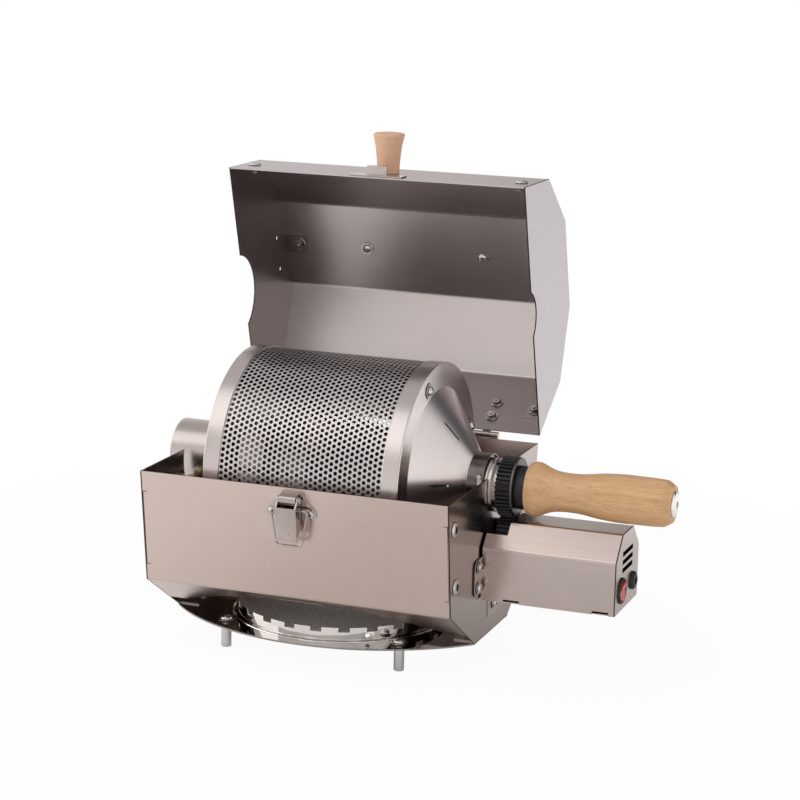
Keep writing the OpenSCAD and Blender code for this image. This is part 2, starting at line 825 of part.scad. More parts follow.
// Pinion with its shaft into the gearbox
module motor_pinion() {
    color("#2a292b") union() {
        translate([gear_x, 0, pinion_z]) rotate([0, 90, 0]) rotate([0, 0, 180 / pinion_teeth])
            linear_extrude(gear_w) spur(pinion_teeth);
        bar_x(pinion_shaft_r, gear_x + gear_w - e, bracket_x + bracket_t + gearbox_len - 5, 0, pinion_z);
    }
}

module switch_bezel() {
    color("#1d1d1f") difference() {
        union() {
            bar_x(switch_r, box_end, box_end + 2, switch_y, switch_z);
            bar_x(switch_body_r, box_end - 18, box_end + e, switch_y, switch_z);
        }
        bar_x(button_r + free_gap, box_end - 7, box_end + 3, switch_y, switch_z);
        rocker_pivot(button_pin_r + run_gap, 12);
    }
}

// Cross pin that the rocker button tips on
module rocker_pivot(r, half) {
    translate([box_end - 2, switch_y, switch_z]) rotate([90, 0, 0]) cylinder(r = r, h = 2 * half, center = true);
}

// Rocker button: a round pad whose face is a shallow vee, tipped to one side
button_tilt = 6;
module rocker_button() {
    color("#b5372b") union() {
        translate([box_end - 2, switch_y, switch_z]) rotate([0, button_tilt, 0]) intersection() {
            translate([-3.5, 0, 0]) rotate([0, 90, 0]) cylinder(r = button_r - 0.4, h = 12);
            for_vee();
        }
        rocker_pivot(button_pin_r, switch_body_r - 0.1);
    }
}

module for_vee() {
    rotate([90, 0, 0]) linear_extrude(2 * switch_r, center = true)
        polygon([[-3.4, -9], [5.2, -9], [3.4, 0], [5.2, 9], [-3.4, 9]]);
}

module dc_jack() {
    color("#1d1d1f") difference() {
        union() {
            bar_x(8, box_end, box_end + 3.5, jack_y, switch_z);
            bar_x(4, box_end - 14, box_end + e, jack_y, switch_z);
        }
        bar_x(2.9, box_end - 8, box_end + 4, jack_y, switch_z);
    }
}

// ---- Lid ----

tab_w = 20;
tab_l = 19;
tab_x = half_w - 12.5;
top_screw_x = 58;
knob_at = 36;
cheek_hole_y = [-15.6, 16.6];
cheek_hole_z = rim_z + 87.5;

// Cheek tabs: which lid panel, and how far along it
tab_places = [[0, 29], [2, lid_top_len / 2], [4, lid_front_len - 29]];

module lid_sheet() {
    color("#bcadab") lid_pose() difference() {
        along_x(-inner_w, inner_w) polygon(band(lid_path, -sheet_t));
        for (t = tab_places, s = [-1, 1]) on_lid_panel(t[0]) translate([s * tab_x, t[1], -5]) cylinder(r = m4_r + screw_gap, h = 10);
        for (s = [-1, 1]) on_lid_panel(2) translate([s * top_screw_x, lid_top_len / 2, -5]) cylinder(r = m4_r + screw_gap, h = 10);
        for (x = [-hinge_x, hinge_x], s = leaf_screws) on_lid_rear() translate([x, s, -5]) cylinder(r = m3_r + screw_gap, h = 10);
        on_lid_panel(0) translate([0, knob_at, -5]) cylinder(r = m4_r + screw_gap, h = 10);
    }
}

module cheek() {
    along_x(inner_w, half_w) polygon(lid_path);
    for (t = tab_places) on_lid_panel(t[0]) difference() {
        translate([inner_w - tab_w, t[1] - tab_l / 2, -2 * sheet_t]) cube([tab_w + e, tab_l, sheet_t]);
        translate([tab_x, t[1], -5]) cylinder(r = m4_r + screw_gap, h = 10);
    }
}

module lid_left_cheek() {
    color("#6e6462") lid_pose() difference() {
        mirror([1, 0, 0]) cheek();
        bar_x(tube_notch_r, -half_w - 5, -inner_w + 3);
        for (y = cheek_hole_y) translate([0, 0, cheek_hole_z]) bar_x(2.1, -half_w - 5, -inner_w + 5, y, 0);
    }
}

module lid_right_cheek() {
    color("#c4b8ba") lid_pose() difference() {
        cheek();
        bar_x(lid_collar_notch_r, inner_w - 3, half_w + 5);
    }
}

module lid_cheek_screws() {
    color("#d9d2ce") lid_pose() for (t = tab_places, s = [-1, 1]) on_lid_panel(t[0])
        translate([s * tab_x, t[1], 0]) screw(m4_r, 5.6, 2.2, 2 * sheet_t + nut_t + 1.5);
}

module lid_cheek_nuts() {
    color("#d9d2ce") lid_pose() for (t = tab_places, s = [-1, 1]) on_lid_panel(t[0])
        translate([s * tab_x, t[1], -2 * sheet_t]) {
            translate([0, 0, -washer_t]) washer(m4_r, 6.5, washer_t);
            translate([0, 0, -washer_t - nut_t]) nut(m4_r, 4.6, nut_t);
        }
}

// Pan-head screws inside the lid: two in the top panel and one that holds the knob
module lid_inner_screws() {
    color("#d9d2ce") lid_pose() {
        for (s = [-1, 1]) on_lid_panel(2) translate([s * top_screw_x, lid_top_len / 2, -sheet_t])
            mirror([0, 0, 1]) washer_screw(m4_r, lid_pan, sheet_t + 4);
        on_lid_panel(0) translate([0, knob_at, -sheet_t]) mirror([0, 0, 1]) washer_screw(m4_r, lid_pan, sheet_t + 17);
    }
}

module lid_top_nuts() {
    color("#d9d2ce") lid_pose() for (s = [-1, 1]) on_lid_panel(2)
        translate([s * top_screw_x, lid_top_len / 2, 0]) difference() {
            union() {
                cylinder(r = 4, h = 3, $fn = 6);
                translate([0, 0, 3 - e]) intersection() {
                    sphere(r = 3.4);
                    cylinder(r = 4, h = 4);
                }
            }
            translate([0, 0, -1]) cylinder(r = m4_r, h = 5.2);
        }
}

// Strike plate with the lip that the bail hooks over
module strike_plate() {
    color("#cfc8c4") lid_pose() on_lid_panel(0) {
        translate([-25, 2, 0]) cube([50, 14, 1.2]);
        translate([-9.5, 6.5, 1.2 - e]) cube([19, 1.2, 7.8]);
        translate([-9.5, 6.5, 7.8]) cube([19, 6.5, 1.2]);
    }
}

// Turned wooden knob: outline in [radius, height]
module lid_knob() {
    color("#d2a98a") lid_pose() on_lid_panel(0) translate([0, knob_at, 0]) difference() {
        rotate_extrude($fn = 72) polygon(concat(
            [[0, 0], [9.6, 0], [10, 1], [10.4, knob_len * 0.3], [11.8, knob_len * 0.65]],
            [for (a = [0 : 15 : 90]) [knob_r - 2.5 + 2.5 * cos(a), knob_len - 4 + 2.5 * sin(a)]],
            [[knob_r * 0.45, knob_len - 0.5], [0, knob_len]]
        ));
        translate([0, 0, -1]) cylinder(r = m4_r, h = 19);
    }
}

// ---- Drum ----

module drum_mesh() {
    color("#c9c4c1") tube_x(mesh_r, mesh_r - mesh_t, drum_left + 1, drum_right - flange_t, $fn = 144);
}

module drum_left_ring() {
    color("#d3c8c4") tube_x(drum_r, mesh_r, drum_left, drum_left + band_w, $fn = 144);
}

// The right ring has an inward flange that the cone cap is screwed to
module drum_right_ring() {
    color("#d3c8c4") difference() {
        union() {
            tube_x(drum_r, mesh_r, drum_right - band_w, drum_right, $fn = 144);
            tube_x(drum_r, flange_r, drum_right - flange_t, drum_right, $fn = 144);
        }
        cone_screw_places() translate([drum_right - 2, 0, 0]) rotate([0, 90, 0]) cylinder(r = m4_r + screw_gap, h = 6);
    }
}

module drum_end_disc() {
    color("#b5aaa6") tube_x(mesh_r - e, tube_r - 1, drum_left, drum_left + 1, $fn = 144);
}

module outlet_tube() {
    color("#bdb0ac") tube_x(tube_r, tube_r - 1, tube_left, drum_left, $fn = 96);
}

// Cone cap: a flat rim screwed to the right ring, with a radial slot over each vane
module drum_cone() {
    color("#c2b6b2") difference() {
        turned() polygon([
            [drum_right, drum_r], [rim_x, drum_r - 0.6], [rim_x, cone_rim_r], [neck_x, neck_r],
            [neck_x, neck_r - neck_wall], [neck_x - 1, neck_r - neck_wall], [drum_right, cone_rim_r - 0.7]
        ]);
        for (i = [0 : vanes - 1]) translate([0, 0, axis_z]) rotate([vane_angle + i * 360 / vanes, 0, 0])
            translate([rim_x + 12.8, 42.5, -cone_slot_w / 2]) cube([13.4, 19.5, cone_slot_w]);
        cone_screw_places() translate([drum_right - 2, 0, 0]) rotate([0, 90, 0]) cylinder(r = m4_r + screw_gap, h = 6);
    }
}

module cone_screw_places() {
    translate([0, 0, axis_z]) for (i = [0 : 3]) rotate([cone_screw_angle + i * 90, 0, 0])
        translate([0, cone_screw_r, 0]) children();
}

module drum_cone_screws() {
    color("#d9d2ce") cone_screw_places() translate([rim_x, 0, 0]) rotate([0, 90, 0])
        washer_screw(m4_r, cone_pan, rim_x - drum_right + 4);
}

// Stirring vanes: flat plates that run the drum's length and taper into the cone
function cone_inner_r(x) = cone_rim_r - 0.7 - (cone_rim_r - 0.7 - neck_r + neck_wall) * (x - drum_right) / (neck_x - 1 - drum_right);
module drum_vanes() {
    r_out = mesh_r - mesh_t - 0.15;
    x0 = drum_left + 1.1;
    x1 = drum_right - flange_t - 0.1;
    x2 = rim_x + 26;
    color("#aaa09c") for (i = [0 : vanes - 1]) translate([0, 0, axis_z]) rotate([vane_angle + i * 360 / vanes, 0, 0])
        linear_extrude(1, center = true) polygon([
            [x0, r_out], [x1, r_out], [x1, cone_inner_r(x1) - 1], [x2, cone_inner_r(x2) - 0.4],
            [x2, cone_inner_r(x2) - 8], [x1 - 8, r_out - vane_depth], [x0, r_out - vane_depth]
        ]);
}

module drum_neck() {
    slot_w = 5;
    color("#4b4644") difference() {
        tube_x(neck_r, neck_r - neck_wall, neck_x, neck_end);
        translate([0, 0, axis_z]) rotate([slot_angle, 0, 0]) {
            translate([neck_end - 6, neck_r - 6, -slot_w / 2]) cube([10, 10, slot_w]);
            translate([neck_end - 6, neck_r - 6, -slot_w / 2 - 7]) cube([bayonet_w, 10, slot_w + 7]);
        }
    }
}

// Plug that locks in the neck, runs in the bearing collar and carries the gear
module drive_sleeve() {
    collar_x = inner_w - 3.9;
    color("#a39b97") union() {
        difference() {
            union() {
                bar_x(neck_r - neck_wall - 0.1, sleeve_x, collar_x - free_gap);
                bar_x(sleeve_r, collar_x - free_gap - e, gear_x);
            }
            bar_x(14, sleeve_x - 1, gear_x - 8);
            bar_x(bolt_r, sleeve_x, gear_x + 1);
        }
        // Bayonet pin, at the closed end of the neck's slot
        translate([0, 0, axis_z]) rotate([slot_angle, 0, 0])
            translate([neck_end - 6 + bayonet_w / 2, neck_r - 6, -7.2]) rotate([-90, 0, 0])
                cylinder(r = bayonet_w / 2 - 0.2, h = 6);
    }
}

// Spur gear outline: flanks follow the involute of the base circle
function inv_angle(r, rb) = let (a = acos(min(1, rb / r))) tan(a) * 180 / PI - a;
function polar(r, a) = [r * cos(a), r * sin(a)];
module spur(n) {
    rp = gear_module * n / 2;
    rb = rp * cos(20);
    ra = rp + 0.9 * gear_module;
    rr = rp - 1.2 * gear_module;
    backlash = 0.12;
    half_tooth = 90 / n - backlash / rp * 90 / PI + inv_angle(rp, rb);
    r0 = max(rr, rb);
    steps = 3;
    polygon([for (i = [0 : n - 1]) let (c = i * 360 / n) each concat(
        [polar(rr, c - half_tooth)],
        [for (k = [0 : steps]) let (r = r0 + (ra - r0) * k / steps) polar(r, c - half_tooth + inv_angle(r, rb))],
        [for (k = [steps : -1 : 0]) let (r = r0 + (ra - r0) * k / steps) polar(r, c + half_tooth - inv_angle(r, rb))],
        [polar(rr, c + half_tooth)]
    )]);
}

module drum_gear() {
    color("#232224") difference() {
        translate([gear_x, 0, axis_z]) rotate([0, 90, 0]) linear_extrude(gear_w) spur(gear_teeth);
        bar_x(handle_bore_r, gear_x - 1, gear_x + gear_w + 1);
    }
}

module gear_disc() {
    color("#a8a1a0") tube_x(disc_r, handle_bore_r, gear_x + gear_w, ferrule_x);
}

module handle_ferrule() {
    color("#38343a") tube_x(ferrule_r, handle_bore_r, ferrule_x, handle_x + 2);
}

// Handle radii at even steps from its left end to its right end
handle_r = [
    22.6, 23.7, 22, 19.5, 17.8, 17.1, 16.8, 16.9, 17.2, 17.9, 18.8, 19.6,
    20.1, 20.5, 20.8, 20.9, 20.8, 20.7, 20.7, 20.6, 20.3, 19.6, 16
];
module handle() {
    n = len(handle_r) - 1;
    color("#ddb287") difference() {
        turned() polygon(concat(
            [[handle_x + 2, 0], [handle_x + 2, ferrule_r + e], [handle_x, ferrule_r + e]],
            [for (i = [0 : n]) [handle_x + 0.6 + (handle_len - 0.6) * i / n, handle_r[i]]],
            [[handle_x + handle_len, 0]]
        ));
        bar_x(handle_bore_r, handle_x, handle_x + handle_len + 1);
    }
}

// Long bolt through the handle, with a domed cap and a hex socket
module handle_bolt() {
    x_end = handle_x + handle_len;
    color("#d0cbc8") difference() {
        union() {
            bar_x(bolt_r, gear_x - 7, x_end + e);
            translate([x_end, 0, axis_z]) rotate([0, 90, 0]) screw(bolt_r, cap_r, cap_h, 1);
        }
        translate([x_end + 0.6, 0, axis_z]) rotate([0, 90, 0]) cylinder(r = 3.4, h = 6, $fn = 6);
    }
}

front_sheet();
rear_sheet();
left_end_panel();
right_end_panel();
end_panel_screws();
base_plate();
base_rivets();
flame_ring();
flame_mesh();
legs();
leg_screws();
roller_pins();
bearing_collar();
hinge_lower_leaves();
hinge_pins();
hinge_lower_screws();
latch_base();
latch_screws();
latch_pivot_pin();
motor_cover();
motor_end_plate();
motor_bottom_plate();
motor_cover_screws();
motor_bracket();
gearbox();
motor();
switch_bezel();
rocker_button();
dc_jack();
lid_sheet();
lid_left_cheek();
lid_right_cheek();
lid_cheek_screws();
lid_cheek_nuts();
lid_inner_screws();
lid_top_nuts();
hinge_upper_leaves();
hinge_upper_screws();
strike_plate();
lid_knob();
drum_mesh();
drum_left_ring();
drum_right_ring();
drum_end_disc();
outlet_tube();
drum_cone();
drum_cone_screws();
drum_vanes();
drum_neck();
drive_sleeve();
drum_gear();
gear_disc();
handle_ferrule();
handle();
handle_bolt();
motor_pinion();
front_roller();
rear_roller();
latch_lever();
latch_bail();
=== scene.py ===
# %% [markdown]
# # Home coffee bean roaster
# The steel housing, its lid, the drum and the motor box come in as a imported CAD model.
# That model fixes every size and every joint. In this lesson each visible surface gets
# its real finish, and the round and perforated pieces are modelled again, more finely.

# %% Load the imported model
import json
import math

import bpy
from mathutils import Matrix, Vector


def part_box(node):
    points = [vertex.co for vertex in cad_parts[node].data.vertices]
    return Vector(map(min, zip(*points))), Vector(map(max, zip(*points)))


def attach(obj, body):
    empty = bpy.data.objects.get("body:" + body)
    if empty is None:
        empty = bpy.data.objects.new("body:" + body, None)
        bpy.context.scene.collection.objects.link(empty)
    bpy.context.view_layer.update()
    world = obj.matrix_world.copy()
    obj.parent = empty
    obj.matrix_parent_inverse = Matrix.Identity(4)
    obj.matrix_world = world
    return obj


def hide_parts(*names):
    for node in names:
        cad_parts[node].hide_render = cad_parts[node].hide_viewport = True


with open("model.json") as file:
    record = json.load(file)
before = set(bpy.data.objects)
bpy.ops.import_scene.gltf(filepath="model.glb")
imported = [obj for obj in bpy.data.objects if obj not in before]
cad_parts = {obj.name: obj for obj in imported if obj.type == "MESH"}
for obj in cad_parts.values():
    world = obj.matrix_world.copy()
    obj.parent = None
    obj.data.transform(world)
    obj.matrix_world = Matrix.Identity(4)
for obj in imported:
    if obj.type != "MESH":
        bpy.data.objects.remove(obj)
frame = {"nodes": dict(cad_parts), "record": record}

scene = bpy.context.scene
cad = frame["nodes"]
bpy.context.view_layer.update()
MM = 0.001
print("CAD nodes:", len(cad))

# %% [markdown]
# The lengths below are in millimetres. Most come from the boxes of the CAD nodes, so a
# piece stays on its neighbours if the CAD changes.

# %% Sizes that the pieces share
def low(node, axis):
    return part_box(node)[0][axis] / MM


def high(node, axis):
    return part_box(node)[1][axis] / MM


def ends(node, axis=0):
    return low(node, axis), high(node, axis)


def middle(node, axis):
    return sum(ends(node, axis)) / 2


def half(node, axis):
    return (high(node, axis) - low(node, axis)) / 2


AXIS_Z = middle("drum_left_ring", 2)
DRUM_R = half("drum_left_ring", 2)
SHEET_R = DRUM_R - 1.4
RIM_Z = high("front_sheet", 2)
HALF_W = high("right_end_panel", 0)
HALF_D = -low("left_end_panel", 1)
PLATE_TOP = high("base_plate", 2)
SHEET = 1.2
WALL_H, WALL_LEAN_IN = 99.5, 12.5
WALL_LEAN = math.atan(WALL_LEAN_IN / WALL_H)
LID_GAP, LID_FOLD_H, LID_H = 5.0, 73, 114
LID_FOLD_IN, LID_TOP_IN = 20.6, 79
LID_OPEN = math.radians(73.5)
HINGE = Vector((0, HALF_D + 3, RIM_Z + LID_GAP / 2))
print("drum axis", round(AXIS_Z, 2), "rim", round(RIM_Z, 2), "half width", HALF_W)

# %% [markdown]
# Screws and latches sit on leaning panels. Each panel gets a small matrix: its origin is
# on the outer face, X runs along the roaster and Z points away from the sheet.

# %% Frames of the panels
def turn_x(angle):
    return Matrix.Rotation(angle, 4, "X")


def move(x, y, z):
    return Matrix.Translation((x, y, z))


LID = move(*HINGE) @ turn_x(-LID_OPEN) @ move(*-HINGE)
LID_HALF = [(HALF_D, LID_GAP), (HALF_D - LID_FOLD_IN, LID_FOLD_H), (HALF_D - LID_TOP_IN, LID_H)]
LID_FOLDS = [(-y, z) for y, z in LID_HALF] + LID_HALF[::-1]


def lid_panel(i):
    (y0, z0), (y1, z1) = LID_FOLDS[i], LID_FOLDS[i + 1]
    return LID @ move(0, y0, RIM_Z + z0) @ turn_x(math.atan2(z1 - z0, y1 - y0))


FRONT = move(0, -HALF_D, RIM_Z) @ turn_x(WALL_LEAN)
BACK = Matrix.Rotation(math.pi, 4, "Z") @ FRONT
TO_RIGHT = Matrix.Rotation(math.radians(90), 4, "Y")
LID_PANEL_LENGTH = math.hypot(LID_FOLD_IN, LID_FOLD_H - LID_GAP)
TOP_LENGTH = 2 * (HALF_D - LID_TOP_IN)
print("lid panel length", round(LID_PANEL_LENGTH, 1))

# %% [markdown]
# ## Tools of the workshop
# Operators act on everything that is selected, so each piece starts from an empty
# selection. These helpers begin and end a piece, and pick faces or edges by their place.

# %% Starting and ending a piece
def calm():
    if bpy.context.object and bpy.context.object.mode != "OBJECT":
        bpy.ops.object.mode_set(mode="OBJECT")
    bpy.ops.object.select_all(action="DESELECT")


def take(piece):
    calm()
    piece.select_set(True)
    bpy.context.view_layer.objects.active = piece


def edit(piece, select="SELECT"):
    take(piece)
    bpy.ops.object.mode_set(mode="EDIT")
    bpy.ops.mesh.select_all(action=select)


def settle(piece):
    take(piece)
    bpy.ops.object.transform_apply(location=True, rotation=True, scale=True)
    return piece


def modify(piece, kind, **settings):
    """Adds one modifier with its settings, and applies it."""
    modifier = piece.modifiers.new(kind.lower(), kind)
    for key, value in settings.items():
        setattr(modifier, key, value)
    take(piece)
    bpy.ops.object.modifier_apply(modifier=modifier.name)


def pick_faces(piece, wanted):
    """Selects, in edit mode, the faces whose centre and normal pass the test."""
    bpy.ops.mesh.select_all(action="DESELECT")
    bpy.ops.object.mode_set(mode="OBJECT")
    for face in piece.data.polygons:
        face.select = wanted(face.center / MM, face.normal)
    bpy.ops.object.mode_set(mode="EDIT")


def place(piece, matrix):
    """Moves the mesh itself, by a matrix in millimetres."""
    scaled = Matrix.Scale(MM, 4) @ matrix @ Matrix.Scale(1 / MM, 4)
    piece.data.transform(scaled)
    return piece


def join(first, *others):
    calm()
    for piece in (first, *others):
        piece.select_set(True)
    bpy.context.view_layer.objects.active = first
    bpy.ops.object.join()
    return first


def twin_of(piece):
    twin = bpy.data.objects.new(piece.name + "_twin", piece.data.copy())
    scene.collection.objects.link(twin)
    return twin


def copies(piece, matrices):
    """One mesh with a copy of the piece at every matrix."""
    twins = [place(twin_of(piece), matrix) for matrix in matrices]
    bpy.data.objects.remove(piece)
    return join(*twins)


def bar(size, centre):
    calm()
    bpy.ops.mesh.primitive_cube_add(size=1, location=Vector(centre) * MM)
    block = bpy.context.object
    block.scale = Vector(size) * MM
    return settle(block)


def rod(sides, radius, length, centre=(0, 0, 0), lying=False):
    """A cylinder or prism along Z, or along X where it is lying."""
    calm()
    bpy.ops.mesh.primitive_cylinder_add(
        vertices=sides, radius=radius * MM, depth=length * MM,
        location=Vector(centre) * MM, rotation=(0, math.radians(90 * lying), 0))
    return settle(bpy.context.object)


def soften(piece, width, segments=2, angle=35, flat=True):
    """Rounds the sharp edges a little, as real edges are, and smooths the shading.
    flat: the large faces keep their own normals, so that they reflect like a flat sheet."""
    if width:
        modify(piece, "BEVEL", width=width * MM, segments=segments, limit_method="ANGLE",
               angle_limit=math.radians(30), use_clamp_overlap=True)
    take(piece)
    bpy.ops.object.shade_smooth_by_angle(angle=math.radians(angle))
    if flat:
        modify(piece, "WEIGHTED_NORMAL", weight=100, keep_sharp=True)
    return piece


def cut(piece, tool):
    """Takes the tool's shape out of the piece."""
    modify(piece, "BOOLEAN", operation="DIFFERENCE", solver="EXACT", object=tool)
    bpy.data.objects.remove(tool)
    return piece


print("helpers ready")

# %% [markdown]
# Most pieces of the drum are turned or spun on a lathe. Here that is done as a lathe does
# it: one point is extruded along the outline, and the outline is spun about an axis.

# %% The lathe
def chain(spots):
    """A chain of edges through the spots, left in edit mode and selected."""
    calm()
    bpy.ops.mesh.primitive_plane_add(size=0.001, location=spots[0])
    piece = bpy.context.object
    edit(piece)
    bpy.ops.mesh.merge(type="CENTER")
    for here, there in zip(spots, spots[1:]):
        bpy.ops.mesh.extrude_region_move(TRANSFORM_OT_translate={"value": there - here})
    bpy.ops.mesh.select_all(action="SELECT")
    return piece


def turned(outline, steps=96, axis="Z", centre=(0, 0)):
    """outline: points of (place on the axis, radius), in millimetres.
    centre: the other two coordinates of the axis, in X, Y, Z order."""
    frames = {"X": lambda a, r: (a, centre[0], centre[1] + r),
              "Z": lambda a, r: (centre[0] + r, centre[1], a)}
    piece = chain([Vector(frames[axis](a, r)) * MM for a, r in outline])
    bpy.ops.mesh.spin(
        steps=steps, angle=2 * math.pi, center=Vector(frames[axis](0, 0)) * MM,
        axis=(1, 0, 0) if axis == "X" else (0, 0, 1))
    bpy.ops.mesh.select_all(action="SELECT")
    bpy.ops.mesh.remove_doubles(threshold=2e-6)
    bpy.ops.mesh.normals_make_consistent(inside=False)
    return settle(piece)


def on_drum(outline, steps=128):
    return turned(outline, steps, "X", (0, AXIS_Z))


def bush(a0, a1, inner, outer, lip):
    """The outline of a ring whose two outer corners are broken."""
    return [(a0, inner), (a0, outer - lip), (a0 + lip, outer), (a1 - lip, outer),
            (a1, outer - lip), (a1, inner), (a0, inner)]


print("lathe ready")

# %% [markdown]
# A flat sheet-metal node is right as it is, but its mesh is loose triangles. A copy can
# be merged, and then its folds and edges take a fine bevel, which catches the light.

# %% Copies of CAD nodes with worked edges
def reworked(node, edge=0.2, fold=0.0, segments=2, angle=35):
    piece = twin_of(cad[node])
    edit(piece)
    bpy.ops.mesh.remove_doubles(threshold=1e-5)
    bpy.ops.mesh.dissolve_limited(angle_limit=math.radians(0.5))
    if fold:
        bpy.ops.mesh.select_all(action="DESELECT")
        bpy.ops.mesh.select_mode(type="EDGE")
        bpy.ops.object.mode_set(mode="OBJECT")
        faces_at = {}
        for face in piece.data.polygons:
            for key in face.edge_keys:
                faces_at.setdefault(key, []).append(face.normal)
        for line in piece.data.edges:
            pair = faces_at.get(line.key, [])
            ends = [piece.data.vertices[v].co for v in line.vertices]
            along_x = abs((ends[1] - ends[0]).normalized().x) > 0.99
            bend = pair[0].angle(pair[1], 0) if len(pair) == 2 else 0
            line.select = along_x and math.radians(8) < bend < math.radians(60)
        bpy.ops.object.mode_set(mode="EDIT")
        bpy.ops.mesh.bevel(offset=fold * MM, segments=4, affect="EDGES")
        bpy.ops.mesh.select_mode(type="VERT")
    calm()
    return soften(piece, edge, segments, angle)


print("rework ready")

# %% [markdown]
# ## Finishes
# A shader is easier to read as a sum than as a web of nodes. The class below wraps a
# socket, so that `1 - mask * 0.3` adds its own Math nodes.

# %% Shader maths
class Value:
    """A number that varies over the surface."""

    def __init__(self, finish, socket):
        self.finish = finish
        self.socket = socket

    def _math(self, operation, first, second):
        return self.finish.node("ShaderNodeMath", {"operation": operation}, {0: first, 1: second})

    def __add__(self, other):
        return self._math("ADD", self, other)

    def __radd__(self, other):
        return self._math("ADD", other, self)

    def __sub__(self, other):
        return self._math("SUBTRACT", self, other)

    def __rsub__(self, other):
        return self._math("SUBTRACT", other, self)

    def __mul__(self, other):
        return self._math("MULTIPLY", self, other)

    def within(self, start, end, to_start=0.0, to_end=1.0):
        """The value, spread from start..end to to_start..to_end and clamped there."""
        return self.finish.node(
            "ShaderNodeMapRange", {"clamp": True},
            {"Value": self, "From Min": start, "From Max": end,
             "To Min": to_start, "To Max": to_end})


class Finish:
    """A material in the making."""

    def __init__(self, name, metallic=1.0, roughness=0.3, colour=(0.5, 0.5, 0.5)):
        self.material = bpy.data.materials.new(name)
        self.material.use_nodes = True
        self.tree = self.material.node_tree
        self.surface = self.tree.nodes["Principled BSDF"]
        self.set("Metallic", metallic)
        self.set("Roughness", roughness)
        self.set("Base Color", colour)

    def node(self, kind, settings, inputs, output=0):
        made = self.tree.nodes.new(kind)
        for key, value in settings.items():
            setattr(made, key, value)
        for key, value in inputs.items():
            self._feed(made.inputs[key], value)
        return Value(self, made.outputs[output])

    def _feed(self, socket, value):
        if isinstance(value, Value):
            self.tree.links.new(value.socket, socket)
        elif isinstance(value, tuple) and len(value) == 3 and len(socket.default_value) == 4:
            socket.default_value = (*value, 1)
        else:
            socket.default_value = value

    def set(self, key, value):
        self._feed(self.surface.inputs[key], value)

    def where(self, scale=(1, 1, 1), turn=(0, 0, 0)):
        """Object coordinates in millimetres, stretched by scale."""
        spot = self.node("ShaderNodeTexCoord", {}, {}, "Object")
        stretch = tuple(s / MM for s in scale)
        return self.node("ShaderNodeMapping", {}, {"Vector": spot, "Rotation": turn, "Scale": stretch})

    def noise(self, scale, detail=3.0, roughness=0.5, distortion=0.0):
        """Noise over the object coordinates. scale: one number, or one for each axis."""
        at = self.where(scale if isinstance(scale, tuple) else (scale,) * 3)
        return self.node("ShaderNodeTexNoise", {}, {
            "Vector": at, "Scale": 1.0, "Detail": detail, "Roughness": roughness, "Distortion": distortion})

    def mix(self, mask, first, second):
        return self.node(
            "ShaderNodeMix", {"data_type": "RGBA"},
            {0: mask, 6: first, 7: second}, 2)

    def bump(self, height, strength=0.2, distance=0.0002):
        normal = self.node(
            "ShaderNodeBump", {},
            {"Height": height, "Strength": strength, "Distance": distance})
        self.set("Normal", normal)

    def rays(self):
        """Whether a camera, glossy or transmission ray is looking."""
        return [self.node("ShaderNodeLightPath", {}, {}, "Is " + kind + " Ray")
                for kind in ("Camera", "Glossy", "Transmission")]


print("shader maths ready")

# %% [markdown]
# ### Stainless steel
# The housing is brushed stainless sheet with a warm cast. Brushing leaves fine scratches
# along one direction: a noise stretched hard along the grain. Broad, faint clouds are
# where hands and heat have dulled the sheet. Only the grain's axis and tone differ from
# piece to piece, so one function makes them all.

# %% Brushed sheet
WARM = (0.65, 0.535, 0.49)
WARM_DARK = (0.615, 0.5, 0.455)


def brushed(name, light=WARM, dark=WARM_DARK, grain=(0.012, 2.4, 2.4), rough=(0.24, 0.34), scratch=0.15):
    finish = Finish(name)
    fine = finish.noise(grain, 3.0, 0.6)
    wide = finish.noise(tuple(g * 0.1 for g in grain), 3.0, 0.55)
    cloud = finish.noise(0.011, 3.0, 0.5)
    tone = fine.within(0.3, 0.7) * 0.3 + wide.within(0.3, 0.7) * 0.2 + cloud.within(0.32, 0.68) * 0.5
    finish.set("Base Color", finish.mix(tone, dark, light))
    finish.set("Roughness", (fine * 0.45 + cloud * 0.55).within(0.3, 0.7, *rough))
    finish.bump(fine, scratch, 0.0001)
    return finish.material


UPRIGHT, ROUND, OUTWARD = (2.0, 0.02, 2.0), (2.4, 0.03, 0.03), (2.0, 0.02, 0.02)
FRONT_STEEL = brushed("front_steel")
SIDE_STEEL = brushed("side_steel", (0.54, 0.465, 0.44), (0.46, 0.39, 0.37), (0.012, 2.2, 2.2), (0.14, 0.22))
LID_STEEL = brushed("lid_steel", (0.6, 0.545, 0.54), (0.51, 0.46, 0.455), (0.008, 1.8, 1.8), (0.3, 0.38), 0.3)
# The two lid cheeks are one steel in two copies: the left one darker, painted shade, and the right one
# lighter, painted light.
SHADED_LEFT_CHEEK_STEEL = brushed(
    "left_cheek_painted_shade_steel", (0.44, 0.4, 0.395), (0.35, 0.315, 0.31), UPRIGHT, (0.3, 0.4), 0.2)
LIT_RIGHT_CHEEK_STEEL = brushed("right_cheek_painted_light_steel", (0.6, 0.55, 0.57), (0.54, 0.49, 0.505), UPRIGHT, (0.24, 0.34), 0.2)
RING_STEEL = brushed("ring_steel", (0.68, 0.62, 0.605), (0.6, 0.54, 0.525), ROUND, (0.24, 0.32), 0.4)
CONE_STEEL = brushed("cone_steel", (0.84, 0.785, 0.775), (0.76, 0.7, 0.69), OUTWARD, (0.2, 0.28), 0.5)
TUBE_STEEL = brushed("tube_steel", (0.62, 0.56, 0.54), (0.54, 0.485, 0.465), ROUND, (0.24, 0.34), 0.4)
BOX_STEEL = brushed(
    "box_steel", (0.62, 0.535, 0.5), (0.55, 0.465, 0.43), (0.014, 2.2, 2.2), (0.18, 0.28), 0.3)
print("brushed steels made")
